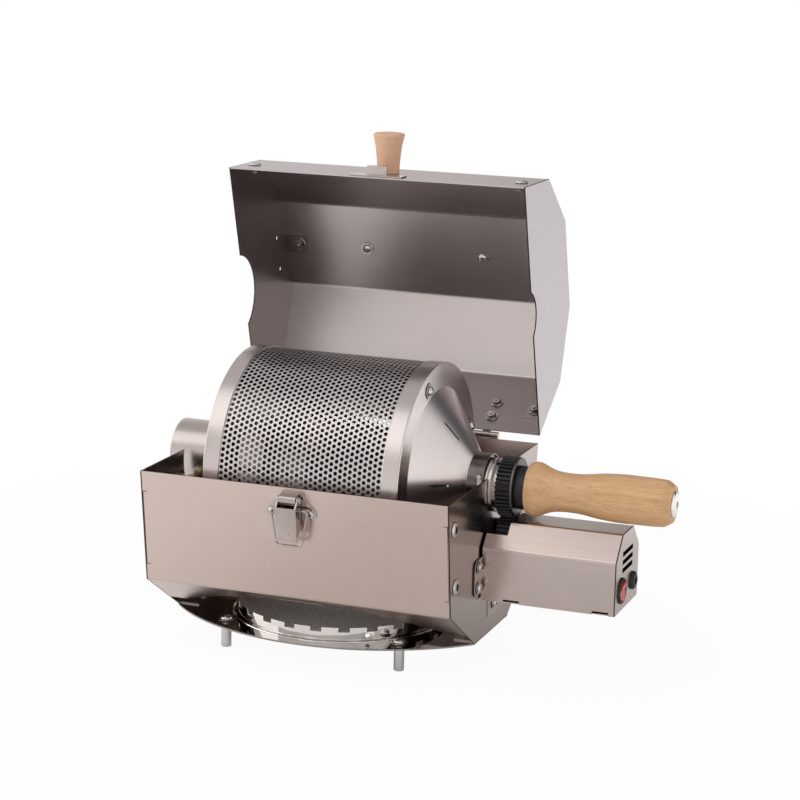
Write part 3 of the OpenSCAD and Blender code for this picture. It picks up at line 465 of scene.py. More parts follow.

# %% [markdown]
# ### Mirror steel, bright screws, dark steel and painted shade
# The base plate and the flame ring are polished: almost no roughness, and a faint
# waviness that bends reflections. Screws are bright zinc with tiny scratches. The thin
# edges of the sheet, and the recesses and sides of the screws, get a near-black finish: painted shade.

# %% Polished metals
def polished(name, light, dark, rough=(0.03, 0.09), wave=0.35):
    finish = Finish(name)
    smear = finish.noise(0.03, 4.0, 0.6)
    speck = finish.noise(0.9, 2.0, 0.5)
    finish.set("Base Color", finish.mix(smear.within(0.35, 0.65), dark, light))
    finish.set("Roughness", (smear * 0.7 + speck * 0.3).within(0.35, 0.65, *rough))
    finish.bump(finish.noise(0.05, 1.0), wave, 0.0006)
    return finish.material


MIRROR = polished("mirror_plate", (0.4, 0.375, 0.36), (0.33, 0.31, 0.295), (0.02, 0.05), 0.03)
CHROME = polished("flame_ring_chrome", (0.95, 0.93, 0.925), (0.86, 0.84, 0.835), (0.03, 0.08), 0.08)
SCREW = polished("bright_screw", (0.78, 0.74, 0.72), (0.6, 0.56, 0.54), (0.12, 0.24), 0.15)
LATCH_STEEL = polished("latch_steel", (0.56, 0.49, 0.46), (0.45, 0.385, 0.36), (0.14, 0.26), 0.15)
DISC_STEEL = polished("gear_disc_steel", (0.17, 0.16, 0.16), (0.11, 0.1, 0.1), (0.28, 0.4), 0.1)
# Painted shade: near-black on the thin edges of sheets, where gaps and contact shadows fall.
EDGE_SHADE_PAINT = polished("painted_edge_shade", (0.075, 0.055, 0.048), (0.05, 0.036, 0.03), (0.35, 0.5), 0.1)
# Painted shade: near-black in the recesses of screws and on the sides of washers and nuts.
RECESS_SHADE_PAINT = polished("painted_recess_shade", (0.1, 0.085, 0.08), (0.05, 0.042, 0.04), (0.35, 0.5), 0.1)
LEG_STEEL = polished("leg_steel", (0.8, 0.79, 0.78), (0.68, 0.665, 0.655), (0.1, 0.2), 0.1)
NECK_STEEL = polished("dark_neck", (0.2, 0.18, 0.175), (0.1, 0.088, 0.085), (0.16, 0.32), 0.2)
print("polished metals made")

# %% [markdown]
# ### Perforated sheet
# The punched sheet is shiny on its face. The holes are real geometry, so the finish only
# needs a soft shine and a little variation from hole to hole. The sheet's inner faces, the
# hole walls and the stirring vanes get a near-black finish: painted shade.

# %% Perforated sheet finish
def punched_finish():
    finish = Finish("punched_sheet")
    cloud = finish.noise(0.02, 4.0, 0.6)
    grain = finish.noise(0.5, 2.0, 0.5)
    tone = cloud.within(0.3, 0.7)
    finish.set("Base Color", finish.mix(tone, (0.58, 0.55, 0.545), (0.7, 0.67, 0.665)))
    finish.set("Roughness", grain.within(0.3, 0.7, 0.32, 0.44))
    finish.bump(grain, 0.1, 0.0001)
    return finish.material


PUNCHED = punched_finish()
# Painted shade: near-black for the inside of the drum, its hole walls and its vanes.
DRUM_SHADE_PAINT = brushed(
    "drum_inside_painted_shade", (0.1, 0.09, 0.085), (0.05, 0.045, 0.042), (0.05, 0.05, 0.05), (0.4, 0.55), 0.1)
print("perforated sheet made")

# %% [markdown]
# ### Wood
# The handle is oak-like wood: long fibres along its length, and short dark pores. Both
# are noises stretched along the grain. The pores are the stretched noise cut at a high
# value. The knob is pale beech, with its grain along its own height.

# %% Wood finishes
def wood(name, light, mid, dark, stretch, pore):
    finish = Finish(name, 0.0, 0.42)
    fibre = finish.noise(tuple(0.9 * s for s in stretch), 4.0, 0.6, 0.2)
    bands = finish.noise(tuple(0.2 * s for s in stretch), 3.0, 0.55, 0.5)
    pores = finish.noise(tuple(1.6 * s for s in stretch), 2.0, 0.5)
    dash = pores.within(pore, pore + 0.07)
    ground = finish.mix((fibre * 0.5 + bands * 0.5).within(0.34, 0.66), mid, light)
    finish.set("Base Color", finish.mix(dash * 0.5, ground, dark))
    finish.set("Roughness", fibre.within(0.3, 0.7, 0.36, 0.5))
    finish.bump(fibre * 0.4 - dash * 0.6, 0.25, 0.0002)
    return finish.material


ALONG_X, ALONG_Z = (0.04, 0.9, 0.9), (0.9, 0.9, 0.05)
HANDLE_WOOD = wood("handle_wood", (0.92, 0.6, 0.325), (0.74, 0.415, 0.195), (0.4, 0.18, 0.075), ALONG_X, 0.6)
KNOB_WOOD = wood("knob_wood", (0.88, 0.56, 0.38), (0.78, 0.46, 0.3), (0.5, 0.27, 0.16), ALONG_Z, 0.68)
print("woods made")

# %% [markdown]
# ### Plastics and the flame mesh
# The gear, its ferrule, the switch and the socket are black moulded plastic: not pure
# black, with a fine grain. The flame mesh is woven wire, heat-stained grey-brown. Its
# wires are thinner than a pixel, so the weave is a pattern of two crossing waves.

# %% Plastics and woven wire
def plastic(name, light, dark, rough=(0.3, 0.45)):
    finish = Finish(name, 0.0, 0.4)
    grain = finish.noise(1.2, 2.0, 0.5)
    dust = finish.noise(0.06, 3.0, 0.6)
    finish.set("Base Color", finish.mix(dust.within(0.35, 0.7), dark, light))
    finish.set("Roughness", grain.within(0.3, 0.7, *rough))
    finish.bump(grain, 0.15, 0.0001)
    return finish.material


def woven_wire():
    finish = Finish("woven_wire", 0.45, 0.45)
    pitch = 2.2
    fine = 2 * math.pi / pitch
    spot = finish.where((fine, fine, fine), (0, 0, math.radians(35)))

    def wave(axis):
        along = finish.node("ShaderNodeSeparateXYZ", {}, {"Vector": spot}, axis)
        return finish.node("ShaderNodeMath", {"operation": "SINE"}, {0: along})

    weave = wave("X") * wave("Y")
    smoke = finish.noise(0.02, 4.0, 0.65)
    crumb = finish.noise(0.28, 3.0, 0.7)
    tone = weave.within(-0.5, 0.5) * 0.5 + crumb.within(0.35, 0.65) * 0.35 + smoke.within(0.3, 0.7) * 0.15
    finish.set("Base Color", finish.mix(tone, (0.2, 0.165, 0.15), (1.0, 0.93, 0.9)))
    finish.set("Roughness", smoke.within(0.3, 0.7, 0.38, 0.55))
    finish.bump(weave * 0.5 + crumb * 0.5, 0.8, 0.0005)
    return finish.material


BLACK = plastic("black_plastic", (0.02, 0.019, 0.021), (0.009, 0.0085, 0.0095), (0.34, 0.5))
RED = plastic("red_plastic", (0.8, 0.06, 0.035), (0.68, 0.04, 0.025), (0.2, 0.3))
WOVEN = woven_wire()
BRASS = polished("roller_brass", (0.6, 0.5, 0.33), (0.48, 0.38, 0.24), (0.2, 0.34), 0.2)
print("finishes:", len(bpy.data.materials))

# %% [markdown]
# Every piece ends the same way: it gets its finish, it stands for its CAD node, and it
# rides on the body that node belongs to. Some pieces have a second finish on some faces,
# such as the near-black painted shade on the thin edges of a sheet.

# %% Handing a piece over
made = []


def body_of(node):
    for body, nodes in frame["record"]["behaviour"]["bodies"].items():
        if node in nodes:
            return body


def slot_of(node):
    for part in frame["record"]["subparts"]:
        if part["node"] == node:
            return part["material_slot"]


def coat(piece, main, other=None, wanted=None):
    """One finish all over, and another on the faces that pass the test."""
    piece.data.materials.clear()
    piece.data.materials.append(main)
    if other:
        piece.data.materials.append(other)
        for face in piece.data.polygons:
            face.material_index = int(wanted(face.center / MM, face.normal))
    return piece


def deliver(piece, name, node, material=None, stands_for=True):
    """Without a material the piece keeps the finishes it has."""
    piece.name = name
    piece.data.name = name
    if material:
        coat(piece, material)
    if stands_for:
        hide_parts(node)
    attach(piece, body_of(node))
    slot_of(node)
    made.append(name)


def worked(node, name, material, edge=0.2, dark=None, **more):
    """A reworked node. The faces that pass the test dark, if there is one, get near-black painted shade."""
    piece = reworked(node, edge, **more)
    deliver(coat(piece, material, dark and EDGE_SHADE_PAINT, dark), name, node)


# %% [markdown]
# ## The drum
# The perforated sheet has round holes of a little over 3 mm at 5 mm centres, in staggered
# rows. One cell is a small flat sheet with an eight-sided hole: a circle's rim is extruded
# out to the cell's corners and to the middles of its sides. Two arrays repeat it: one
# turns it about the drum's axis, the other steps it along. The twin row is turned by half
# a step. Solidify then gives the sheet its thickness.

# %% Rows and steps of the holes
HOLES_ROUND, HOLE_SPACING = 124, 5.0
HOLE_R, PERFORATED_T = 1.84, 0.8
sheet_left = high("drum_left_ring", 0)
sheet_right = low("drum_right_ring", 0)
ROWS = 2 * round((sheet_right - sheet_left) / (HOLE_SPACING * math.sin(math.radians(60))) / 2)
ROW_STEP = (sheet_right - sheet_left) / ROWS
PITCH = 2 * math.pi * SHEET_R / HOLES_ROUND
print("rows", ROWS, "row step", round(ROW_STEP, 3), "pitch", round(PITCH, 3))

# %% Cell, rows and drum
def perforated_part(first_row, rows):
    calm()
    bpy.ops.mesh.primitive_circle_add(vertices=8, radius=HOLE_R * MM)
    cell = bpy.context.object
    edit(cell)
    bpy.ops.mesh.extrude_region_move(TRANSFORM_OT_translate={"value": (0, 0, 0)})
    bpy.ops.object.mode_set(mode="OBJECT")
    for point in cell.data.vertices:
        if point.select:
            turn = math.atan2(point.co.y, point.co.x)
            point.co.x = ROW_STEP / 2 * MM * round(math.cos(turn) * 1.3)
            point.co.y = PITCH / 2 * MM * round(math.sin(turn) * 1.3)
    place(cell, move(sheet_left + (first_row + 0.5) * ROW_STEP, 0, SHEET_R))
    step = math.radians(360 / HOLES_ROUND)
    cell = join(cell, place(twin_of(cell), move(ROW_STEP, 0, 0) @ turn_x(step / 2)))
    turner = bpy.data.objects.new("turner", None)
    scene.collection.objects.link(turner)
    cell.location = turner.location = (0, 0, AXIS_Z * MM)
    turner.rotation_euler = (step, 0, 0)
    bpy.context.view_layer.update()
    modify(cell, "ARRAY", count=HOLES_ROUND, use_relative_offset=False,
           use_object_offset=True, offset_object=turner)
    modify(cell, "ARRAY", count=rows // 2, use_relative_offset=False,
           use_constant_offset=True, constant_offset_displace=(2 * ROW_STEP * MM, 0, 0))
    bpy.data.objects.remove(turner)
    edit(cell)
    bpy.ops.mesh.remove_doubles(threshold=0.00012)
    bpy.ops.mesh.normals_make_consistent(inside=False)
    settle(cell)
    modify(cell, "SOLIDIFY", thickness=PERFORATED_T * MM, offset=-1)
    return soften(cell, 0, angle=25, flat=False)


# The inner faces and the hole walls, which get painted shade.
def faces_in_drum_shade(centre, normal):
    out = Vector((0, centre.y, centre.z - AXIS_Z)).normalized()
    return normal.dot(out) < 0.5


half_rows = ROWS // 2 // 2 * 2
for side, first, rows in (("left", 0, half_rows), ("right", half_rows, ROWS - half_rows)):
    sheet = coat(perforated_part(first, rows), PUNCHED, DRUM_SHADE_PAINT, faces_in_drum_shade)
    deliver(sheet, "perforated_sheet_" + side, "drum_mesh")
print("holes", HOLES_ROUND * ROWS)

# %% [markdown]
# The perforated sheet is held between two plain rings. They are turned with rounded
# lips, because a rolled edge catches a thin line of light. The left ring's one rivet is not modelled.

# %% End rings
def ring_outline(x0, x1, inner, lip=0.9):
    arc = [(lip * (1 - math.cos(math.radians(a))), lip * math.sin(math.radians(a))) for a in (0, 30, 60, 90)]
    left = [(x0 + dx, DRUM_R - lip + dr) for dx, dr in arc]
    right = [(x1 - dx, DRUM_R - lip + dr) for dx, dr in reversed(arc)]
    return [(x0, inner), *left, *right, (x1, inner), (x0, inner)]


x0, x1 = ends("drum_left_ring")
left_ring = on_drum(ring_outline(x0, x1, SHEET_R + 0.02), 160)
deliver(soften(left_ring, 0), "left_drum_ring", "drum_left_ring", RING_STEEL)
x0, x1 = ends("drum_right_ring")
FLANGE_R = 80.2
right_ring = on_drum([*ring_outline(x0, x1, FLANGE_R)[1:-2], (x1, FLANGE_R), (x1 - SHEET, FLANGE_R),
                      (x1 - SHEET, SHEET_R), (x0, SHEET_R), (x0, DRUM_R - 0.9)], 160)
deliver(soften(right_ring, 0), "right_drum_ring", "drum_right_ring", RING_STEEL)
print("rings", x1 - x0)

# %% [markdown]
# The drum's left end is a flat disc with a tube that lets the roasted beans out. Both
# are turned; the tube's free edge is a little rounded.

# %% End disc and outlet tube
d0 = low("drum_end_disc", 0)
TUBE_R, BORE_R = 29, 28
disc = on_drum([(d0, SHEET_R), (d0, TUBE_R + 0.6), (d0 + 0.15, BORE_R), (d0 + 1, BORE_R),
                (d0 + 1, SHEET_R), (d0, SHEET_R)])
deliver(soften(disc, 0), "left_end_disc", "drum_end_disc", TUBE_STEEL)
t0, t1 = ends("outlet_tube")
tube = on_drum([(t0 + 0.3, TUBE_R), (t1 - 0.6, TUBE_R), (t1, TUBE_R), (t1, BORE_R), (t0 + 0.3, BORE_R),
                (t0, BORE_R + 0.25), (t0, TUBE_R - 0.25), (t0 + 0.3, TUBE_R)], 96)
deliver(soften(tube, 0), "outlet_tube_spun", "outlet_tube", TUBE_STEEL)
print("tube length", t1 - t0)

# %% [markdown]
# The cone cap is spun from one sheet: a flat rim that is screwed to the ring, then the
# cone. Six narrow radial slots take the tabs of the stirring vanes. They are cut with a
# Boolean modifier from bars made once and turned about the axis.

# %% Cone cap
c0, c1 = ends("drum_cone")
rim_x = c0 + 1
NECK_R, NECK_BORE = 27, 25.5
VANES, VANE_ANGLE = 6, 112.5


def about_axis(angle):
    return move(0, 0, AXIS_Z) @ turn_x(math.radians(angle))


cone = on_drum([
    (c0, DRUM_R - 0.1), (c0 + 0.3, DRUM_R - 0.1), (c0 + 0.75, DRUM_R - 0.3), (rim_x, DRUM_R - 0.8),
    (rim_x, 80.6), (rim_x + 0.15, 79.9), (rim_x + 0.6, 79.1), (c1 - 0.5, NECK_R + 0.5), (c1, NECK_R),
    (c1, NECK_BORE), (c1 - 1, NECK_BORE), (c0, 78.8), (c0, DRUM_R - 0.1)], 160)
slot = bar((13.4, 19.5, 2), (rim_x + 19.5, 52.2, 0))
cone = cut(cone, copies(slot, [about_axis(VANE_ANGLE + 360 / VANES * k) for k in range(VANES)]))
deliver(soften(cone, 0, angle=28), "cone_cap_spun", "drum_cone", CONE_STEEL)
print("cone reach", c1 - c0)

# %% [markdown]
# ### Screws, washers and nuts
# A pan-head screw is a low dome with a crossed recess. It is turned once about Z with its
# seat at zero, and the cross is cut by two thin bars. Copies go wherever the CAD has one.

# %% Screw heads
def dome_outline(radius, height, edge=0.5):
    arc = [(math.cos(math.radians(a)), math.sin(math.radians(a))) for a in (0, 18, 36, 54, 72, 90)]
    return [(0, 0), (0, radius), *[(edge + (height - edge) * s, radius * c) for c, s in arc]]


def side_shade(centre, normal):
    """The upright faces of a washer or a nut, which get painted shade beside its top."""
    return abs(normal.z) < 0.4


def flat_washer(outer, inner):
    washer = turned([(0, outer), (0.75, outer), (1, outer - 0.25), (1, inner), (0, inner), (0, outer)], 40)
    return soften(washer, 0)


def screw_head(radius, height, recess="cross", washer=0.0, shank=0.0, shank_r=1.5):
    lift = 1.0 if washer else 0.0
    head = turned([(a + lift, r) for a, r in dome_outline(radius, height)], 40)
    size = radius * 0.62
    if recess == "cross":
        for spin in (20, 110):
            blade = bar((2 * size, size * 0.34, height * 0.9), (0, 0, lift + height))
            cut(head, place(blade, Matrix.Rotation(math.radians(spin), 4, "Z")))
    elif recess == "hex":
        cut(head, rod(6, size * 0.85, height, (0, 0, lift + height)))
    soften(head, 0.12, 2, 40)

    # The cross recess and the foot of the head get painted shade.
    def recess_shade(centre, normal):
        off = math.hypot(centre.x, centre.y)
        dome = lift + 0.5 + (height - 0.5) * math.sqrt(max(1 - (off / radius) ** 2, 0))
        return off < size * 1.05 and centre.z < dome - 0.3 or centre.z < lift + 0.5

    coat(head, SCREW, RECESS_SHADE_PAINT, recess_shade)
    if washer:
        head = join(head, coat(flat_washer(washer, radius * 0.7), SCREW, RECESS_SHADE_PAINT, side_shade))
    if shank:
        stem = turned([(-shank, 0), (-shank, shank_r - 0.3), (-shank + 0.3, shank_r),
                       (lift, shank_r), (lift, 0)], 20)
        head = join(head, coat(soften(stem, 0), SCREW))
    return head


def nut(radius, height, stud, stud_r, washer):
    """A chamfered hexagon nut on a washer, with the bolt's end standing out of it."""
    body = soften(rod(6, radius, height, (0, 0, height / 2 + 1)), 0.35, 2)
    end = height + 1 + stud
    post = turned([(0, 0), (0, stud_r), (end - 0.4, stud_r), (end, stud_r - 0.4), (end, 0)], 24)
    return coat(join(body, soften(post, 0), flat_washer(washer, stud_r)), SCREW, RECESS_SHADE_PAINT, side_shade)


print("screw parts ready")

# %% [markdown]
# The cone's rim has four screws on washers. The first stands a little past the top.

# %% Cone screws
CONE_SCREW_R, CONE_SCREW_ANGLE = 88, 109.4
cone_places = [about_axis(CONE_SCREW_ANGLE + 90 * k) @ move(rim_x, CONE_SCREW_R, 0) @ TO_RIGHT
               for k in range(4)]
deliver(copies(screw_head(4.6, 3.4, washer=7), cone_places), "cone_rim_screws", "drum_cone_screws")
# The stirring vanes inside the drum get painted shade.
worked("drum_vanes", "stirring_vanes", DRUM_SHADE_PAINT)
print("cone screws placed")

# %% [markdown]
# ### Neck, collar and drive
# A dark neck with a bayonet slot takes the plug of the handle. Beside it a pale grooved
# collar runs in the housing's notch. The gear keeps its CAD teeth, with softened edges.

# %% Neck and bearing collar
n0, n1 = ends("drum_neck")
neck = on_drum([(n0, NECK_BORE + 0.1), (n0, NECK_R - 0.1), (n0 + 0.4, NECK_R), (n1 - 0.7, NECK_R),
                (n1 - 0.2, NECK_R - 0.2), (n1, NECK_R - 0.7), (n1, NECK_BORE + 0.1),
                (n0, NECK_BORE + 0.1)], 96)
SLOT_ANGLE = 170
for size, centre in (((10, 10, 5), (n1 - 1, 26, 0)), ((4.4, 10, 12), (n1 - 3.8, 26, -3.5))):
    neck = cut(neck, place(bar(size, centre), about_axis(SLOT_ANGLE)))
deliver(soften(neck, 0, angle=28), "bayonet_neck", "drum_neck", NECK_STEEL)
b0, b1 = ends("bearing_collar")
LAND_R, LIP_R, GROOVE_R, COLLAR_BORE = 23.5, 22.9, 21.6, 19.6
collar = on_drum([
    (b0, COLLAR_BORE), (b0, LIP_R), (b0 + 0.6, LAND_R), (b0 + 3.2, LAND_R), (b0 + 3.8, LIP_R),
    (b0 + 3.8, GROOVE_R), (b0 + 5.2, GROOVE_R), (b0 + 5.2, LIP_R), (b0 + 5.6, LAND_R),
    (b1 - 0.6, LAND_R), (b1, LIP_R), (b1, COLLAR_BORE), (b0, COLLAR_BORE)], 96)
deliver(soften(collar, 0), "grooved_collar", "bearing_collar", RING_STEEL)
worked("drive_sleeve", "drive_plug", LATCH_STEEL)
print("neck and collar turned")

# %% Gear, disc and ferrule
worked("drum_gear", "drum_gear_teeth", BLACK, 0.18, angle=30)
worked("motor_pinion", "pinion_teeth", BLACK, 0.18, angle=30)
BOLT_HOLE = 4.2
disc = on_drum(bush(*ends("gear_disc"), BOLT_HOLE, 25.5, 0.4), 96)
deliver(soften(disc, 0), "gear_cover_disc", "gear_disc", DISC_STEEL)
f0, f1 = ends("handle_ferrule")
ferrule = on_drum([(f0, BOLT_HOLE), (f0, 18.2), (f0 + 0.6, 18.8), (f1 - 0.5, 18.8), (f1, 18.3),
                   (f1, BOLT_HOLE), (f0, BOLT_HOLE)], 96)
deliver(soften(ferrule, 0), "black_ferrule", "handle_ferrule", BLACK)
print("drive dressed")

# %% [markdown]
# ### The wooden handle
# The handle is turned wood, with a swelling by the ferrule, a waist, and a long grip. Its
# radii are taken at even steps and joined by a smooth curve, then spun. A domed steel cap
# with a hexagon socket closes its end.

# %% Handle and cap
GRIP_R = [22.6, 23.7, 22, 19.5, 17.8, 17.1, 16.8, 16.9, 17.2, 17.9, 18.8, 19.6,
          20.1, 20.5, 20.8, 20.9, 20.8, 20.7, 20.7, 20.6, 20.3, 19.6, 16]


def smooth_curve(values, fine=4):
    """Catmull-Rom curve through evenly spaced values."""
    curve = []
    for i in range(len(values) - 1):
        a, b = values[max(i - 1, 0)], values[i]
        c, d = values[i + 1], values[min(i + 2, len(values) - 1)]
        for k in range(fine):
            t = k / fine
            curve.append(0.5 * (2 * b + (c - a) * t + (2 * a - 5 * b + 4 * c - d) * t * t
                                + (3 * b - a - 3 * c + d) * t ** 3))
    return curve + [values[-1]]


h0, h1 = ends("handle")
radii = smooth_curve(GRIP_R)
grip_outline = [(h0 + 1.8, 18.9), (h0 + 0.2, 19.1), (h0 + 0.1, 21.4)]
grip_outline += [(h0 + 0.6 + (h1 - h0 - 0.6) * i / (len(radii) - 1), r) for i, r in enumerate(radii)]
grip_outline += [(h1, 15), (h1 - 0.1, BOLT_HOLE)]
handle = on_drum(grip_outline, 72)
deliver(soften(handle, 0, angle=50), "wood_handle", "handle", HANDLE_WOOD)
cap_r = half("handle_bolt", 2)
cap_x = high("handle_bolt", 0)
cap_h = cap_x - h1
cap_arc = [(h1 + 0.5 + (cap_h - 0.5) * math.sin(math.radians(a)), cap_r * math.cos(math.radians(a)))
           for a in range(10, 91, 10)]
cap = on_drum([(h1 - 0.1, 4), (h1, cap_r - 0.2), (h1 + 0.4, cap_r), *cap_arc], 72)
cap = cut(cap, rod(6, 3.4, 2 * (cap_h - 0.6), (cap_x, 0, AXIS_Z), lying=True))
deliver(soften(cap, 0.2, 2, 40), "handle_end_cap", "handle_bolt", CHROME)
print("handle length", h1 - h0)

# %% [markdown]
# ## Housing
# The front and rear sheets keep their CAD shape. Their long folds are bevelled to the
# radius a press brake leaves, and the cut edges are only just broken.

# %% Sheets and end panels
def edge_shade_faces(centre, normal):
    """The thin faces round an end panel or a cheek, but not those of its tabs, which get painted shade."""
    return abs(normal.x) < 0.97 and abs(centre.x) > HALF_W - SHEET - 0.05


# The top edge of the front and rear sheets gets painted shade.
def shaded_top_edge(centre, normal):
    return normal.z > 0.5 and centre.z > RIM_Z - 1.5


FOLD_R, SHEET_EDGE = 1.6, 0.12
for side in ("front", "rear"):
    worked(side + "_sheet", side + "_wall", FRONT_STEEL, SHEET_EDGE, shaded_top_edge, fold=FOLD_R)
for side in ("left", "right"):
    worked(side + "_end_panel", side + "_end_wall", SIDE_STEEL, 0.4, edge_shade_faces)
worked("base_plate", "mirror_base_plate", MIRROR, 0.15)
print("housing worked")

# %% [markdown]
# Eight low dome screws hold the end panels: two at each corner, in the middle of the
# folded flange. The heads lean with the panel's edge, not with the floor.

# %% Housing screws and rivets
END_SCREW_IN, END_SCREW_DROPS = 12, (25.4, 76.8)
RIVET_X, RIVET_Y = 126, 25
CORNERS = [(1, 1), (1, -1), (-1, 1), (-1, -1)]
end_places = [wall @ move(side * HALF_W, END_SCREW_IN, -drop)
              @ Matrix.Rotation(math.radians(90 * side), 4, "Y")
              for wall in (FRONT, BACK) for side in (1, -1) for drop in END_SCREW_DROPS]
deliver(copies(screw_head(6.6, 2.4, "hex", shank=7, shank_r=2.5), end_places),
        "end_panel_dome_screws", "end_panel_screws")
rivet_spots = [move(sx * RIVET_X, sy * RIVET_Y, PLATE_TOP + SHEET) for sx, sy in CORNERS]
deliver(copies(screw_head(2.6, 1.2, "none"), rivet_spots), "base_rivet_heads", "base_rivets")
print("end screws", len(end_places))

# %% [markdown]
# ### Flame ring, mesh and legs
# The flame ring is a chromed hoop with a castellated rim. An open cylinder gets one more
# row of faces on top, every other group of that row is deleted, and Solidify gives the
# wall its thickness. A narrow ledge inside carries the woven wire.

# %% Flame ring
RING_R = half("flame_ring", 0)
ring_low, ring_high = ends("flame_ring", 2)
RING_T, NOTCHES, NOTCH_DEPTH, NOTCH_HALF = 1.2, 24, 4.0, 3.1
calm()
bpy.ops.mesh.primitive_cylinder_add(vertices=240, radius=RING_R * MM, end_fill_type="NOTHING",
                                    depth=(ring_high - ring_low - NOTCH_DEPTH) * MM)
hoop = bpy.context.object
hoop.location.z = (ring_low + ring_high - NOTCH_DEPTH) / 2 * MM
settle(hoop)
edit(hoop, "DESELECT")
bpy.ops.object.mode_set(mode="OBJECT")
top = max(v.co.z for v in hoop.data.vertices)
for line in hoop.data.edges:
    line.select = all(hoop.data.vertices[v].co.z > top - 1e-5 for v in line.vertices)
for point in hoop.data.vertices:
    point.select = point.co.z > top - 1e-5
bpy.ops.object.mode_set(mode="EDIT")
bpy.ops.mesh.select_mode(type="EDGE")
bpy.ops.mesh.extrude_region_move(TRANSFORM_OT_translate={"value": (0, 0, NOTCH_DEPTH * MM)})
bpy.ops.mesh.select_mode(type="FACE")


def in_notch(centre, normal):
    step = 360 / NOTCHES
    off_middle = abs(math.degrees(math.atan2(centre.y, centre.x)) % step - step / 2)
    return centre.z > ring_high - NOTCH_DEPTH and off_middle < NOTCH_HALF


pick_faces(hoop, in_notch)
bpy.ops.mesh.delete(type="FACE")
bpy.ops.mesh.select_mode(type="VERT")
bpy.ops.mesh.select_all(action="SELECT")
bpy.ops.mesh.normals_make_consistent(inside=False)
calm()
modify(hoop, "SOLIDIFY", thickness=RING_T * MM, offset=-1)
soften(hoop, 0.2, 2, 30)
ledge_z, wall_r, ledge_r = middle("flame_ring", 2), RING_R - RING_T, RING_R - 6
ledge = turned([(ledge_z, wall_r), (ledge_z + 1, wall_r), (ledge_z + 1, ledge_r + 0.3),
                (ledge_z + 0.7, ledge_r), (ledge_z, ledge_r), (ledge_z, wall_r)], 144)
port = place(rod(24, 2.2, 8, lying=True),
             Matrix.Rotation(math.radians(-55), 4, "Z") @ move(RING_R, 0, (ring_low + ring_high) / 2 - 1))
deliver(join(cut(hoop, port), soften(ledge, 0)), "castellated_flame_ring", "flame_ring", CHROME)
print("notches", NOTCHES)

# %% [markdown]
# A narrow bead is pressed into the base plate around the ring, where it shows as a thin
# bright line.

# %% Bead and woven mesh
bead_r, foot = RING_R + 3, PLATE_TOP - 0.1
bead = turned([(foot, bead_r - 0.7), (foot + 0.6, bead_r - 0.4), (foot + 0.8, bead_r),
               (foot + 0.6, bead_r + 0.4), (foot, bead_r + 0.7), (foot, bead_r - 0.7)], 160)
deliver(soften(bead, 0), "plate_bead", "base_plate", CHROME, stands_for=False)
mesh_low, mesh_high = ends("flame_mesh", 2)
mesh_r = half("flame_mesh", 0)
mesh = turned([(mesh_low, 0), (mesh_low, mesh_r), (mesh_low + 0.6, mesh_r), (mesh_high, mesh_r - 0.4),
               (mesh_high, 60), (mesh_high, 30), (mesh_high, 0)])
deliver(soften(mesh, 0), "woven_flame_mesh", "flame_mesh", WOVEN)
print("bead and mesh turned")

# %% Legs and their screws
LEG_R = 4.5
LEG_X, LEG_Y = high("legs", 0) - LEG_R, high("legs", 1) - LEG_R
leg_spots = [(sx * LEG_X, sy * LEG_Y) for sx, sy in CORNERS]
leg_top = high("legs", 2)
post = turned([(0, 0), (0, LEG_R - 0.6), (0.6, LEG_R), (leg_top - 0.4, LEG_R), (leg_top, LEG_R - 0.4),
               (leg_top, 0)], 40)
deliver(copies(soften(post, 0), [move(x, y, 0) for x, y in leg_spots]), "round_legs", "legs", LEG_STEEL)
deliver(copies(screw_head(4.8, 3.4, washer=6.8), [move(x, y, PLATE_TOP) for x, y in leg_spots]),
        "leg_screw_heads", "leg_screws")
print("legs at", leg_spots[0])

# %% [markdown]
# ### Rollers under the drum's left end
# Two small rollers carry the outlet tube. Each is turned with a shallow crown and runs
# on a pin riveted through the end panel.

# %% Support rollers
ROLLER_BORE = 2.55
for side in ("front", "rear"):
    node = side + "_roller"
    size = half(node, 2)
    roller = turned(bush(*ends(node), ROLLER_BORE, size, 0.8), 64, "X",
                    (middle(node, 1), middle(node, 2)))
    deliver(soften(roller, 0), side + "_support_roller", node, BRASS)
worked("roller_pins", "roller_pin_heads", SCREW)
print("rollers turned")

# %% [markdown]
# ## Lid
# The lid's sheet is bent at four folds, and its cheeks are flat plates with small tabs
# that are screwed under the sheet.

# %% Lid sheet and cheeks
worked("lid_sheet", "lid_shell", LID_STEEL, SHEET_EDGE, fold=FOLD_R)
# Each cheek takes its own copy of the steel: painted shade on the left, painted light on the right.
for side, steel in (("left", SHADED_LEFT_CHEEK_STEEL), ("right", LIT_RIGHT_CHEEK_STEEL)):
    worked("lid_" + side + "_cheek", "lid_" + side + "_plate", steel, 0.4, edge_shade_faces)
print("lid worked")

# %% Lid screws and nuts
TAB_IN, TAB_AT, TOP_SCREW_X, KNOB_AT = 12.5, 29, 58, 36
FLIP = turn_x(math.pi)
tab_rows = [(0, TAB_AT), (2, TOP_LENGTH / 2), (4, LID_PANEL_LENGTH - TAB_AT)]
tab_spots = [lid_panel(i) @ move(side * (HALF_W - TAB_IN), along, 0)
             for i, along in tab_rows for side in (1, -1)]
deliver(copies(screw_head(5.6, 2.2), tab_spots), "lid_cheek_screw_heads", "lid_cheek_screws")
under = [spot @ move(0, 0, -2 * SHEET) @ FLIP for spot in tab_spots]
deliver(copies(nut(4.6, 3.2, 1.4, 2, 6.5), under), "lid_cheek_hex_nuts", "lid_cheek_nuts")
inner = [lid_panel(2) @ move(side * TOP_SCREW_X, TOP_LENGTH / 2, -SHEET) @ FLIP for side in (1, -1)]
inner.append(lid_panel(0) @ move(0, KNOB_AT, -SHEET) @ FLIP)
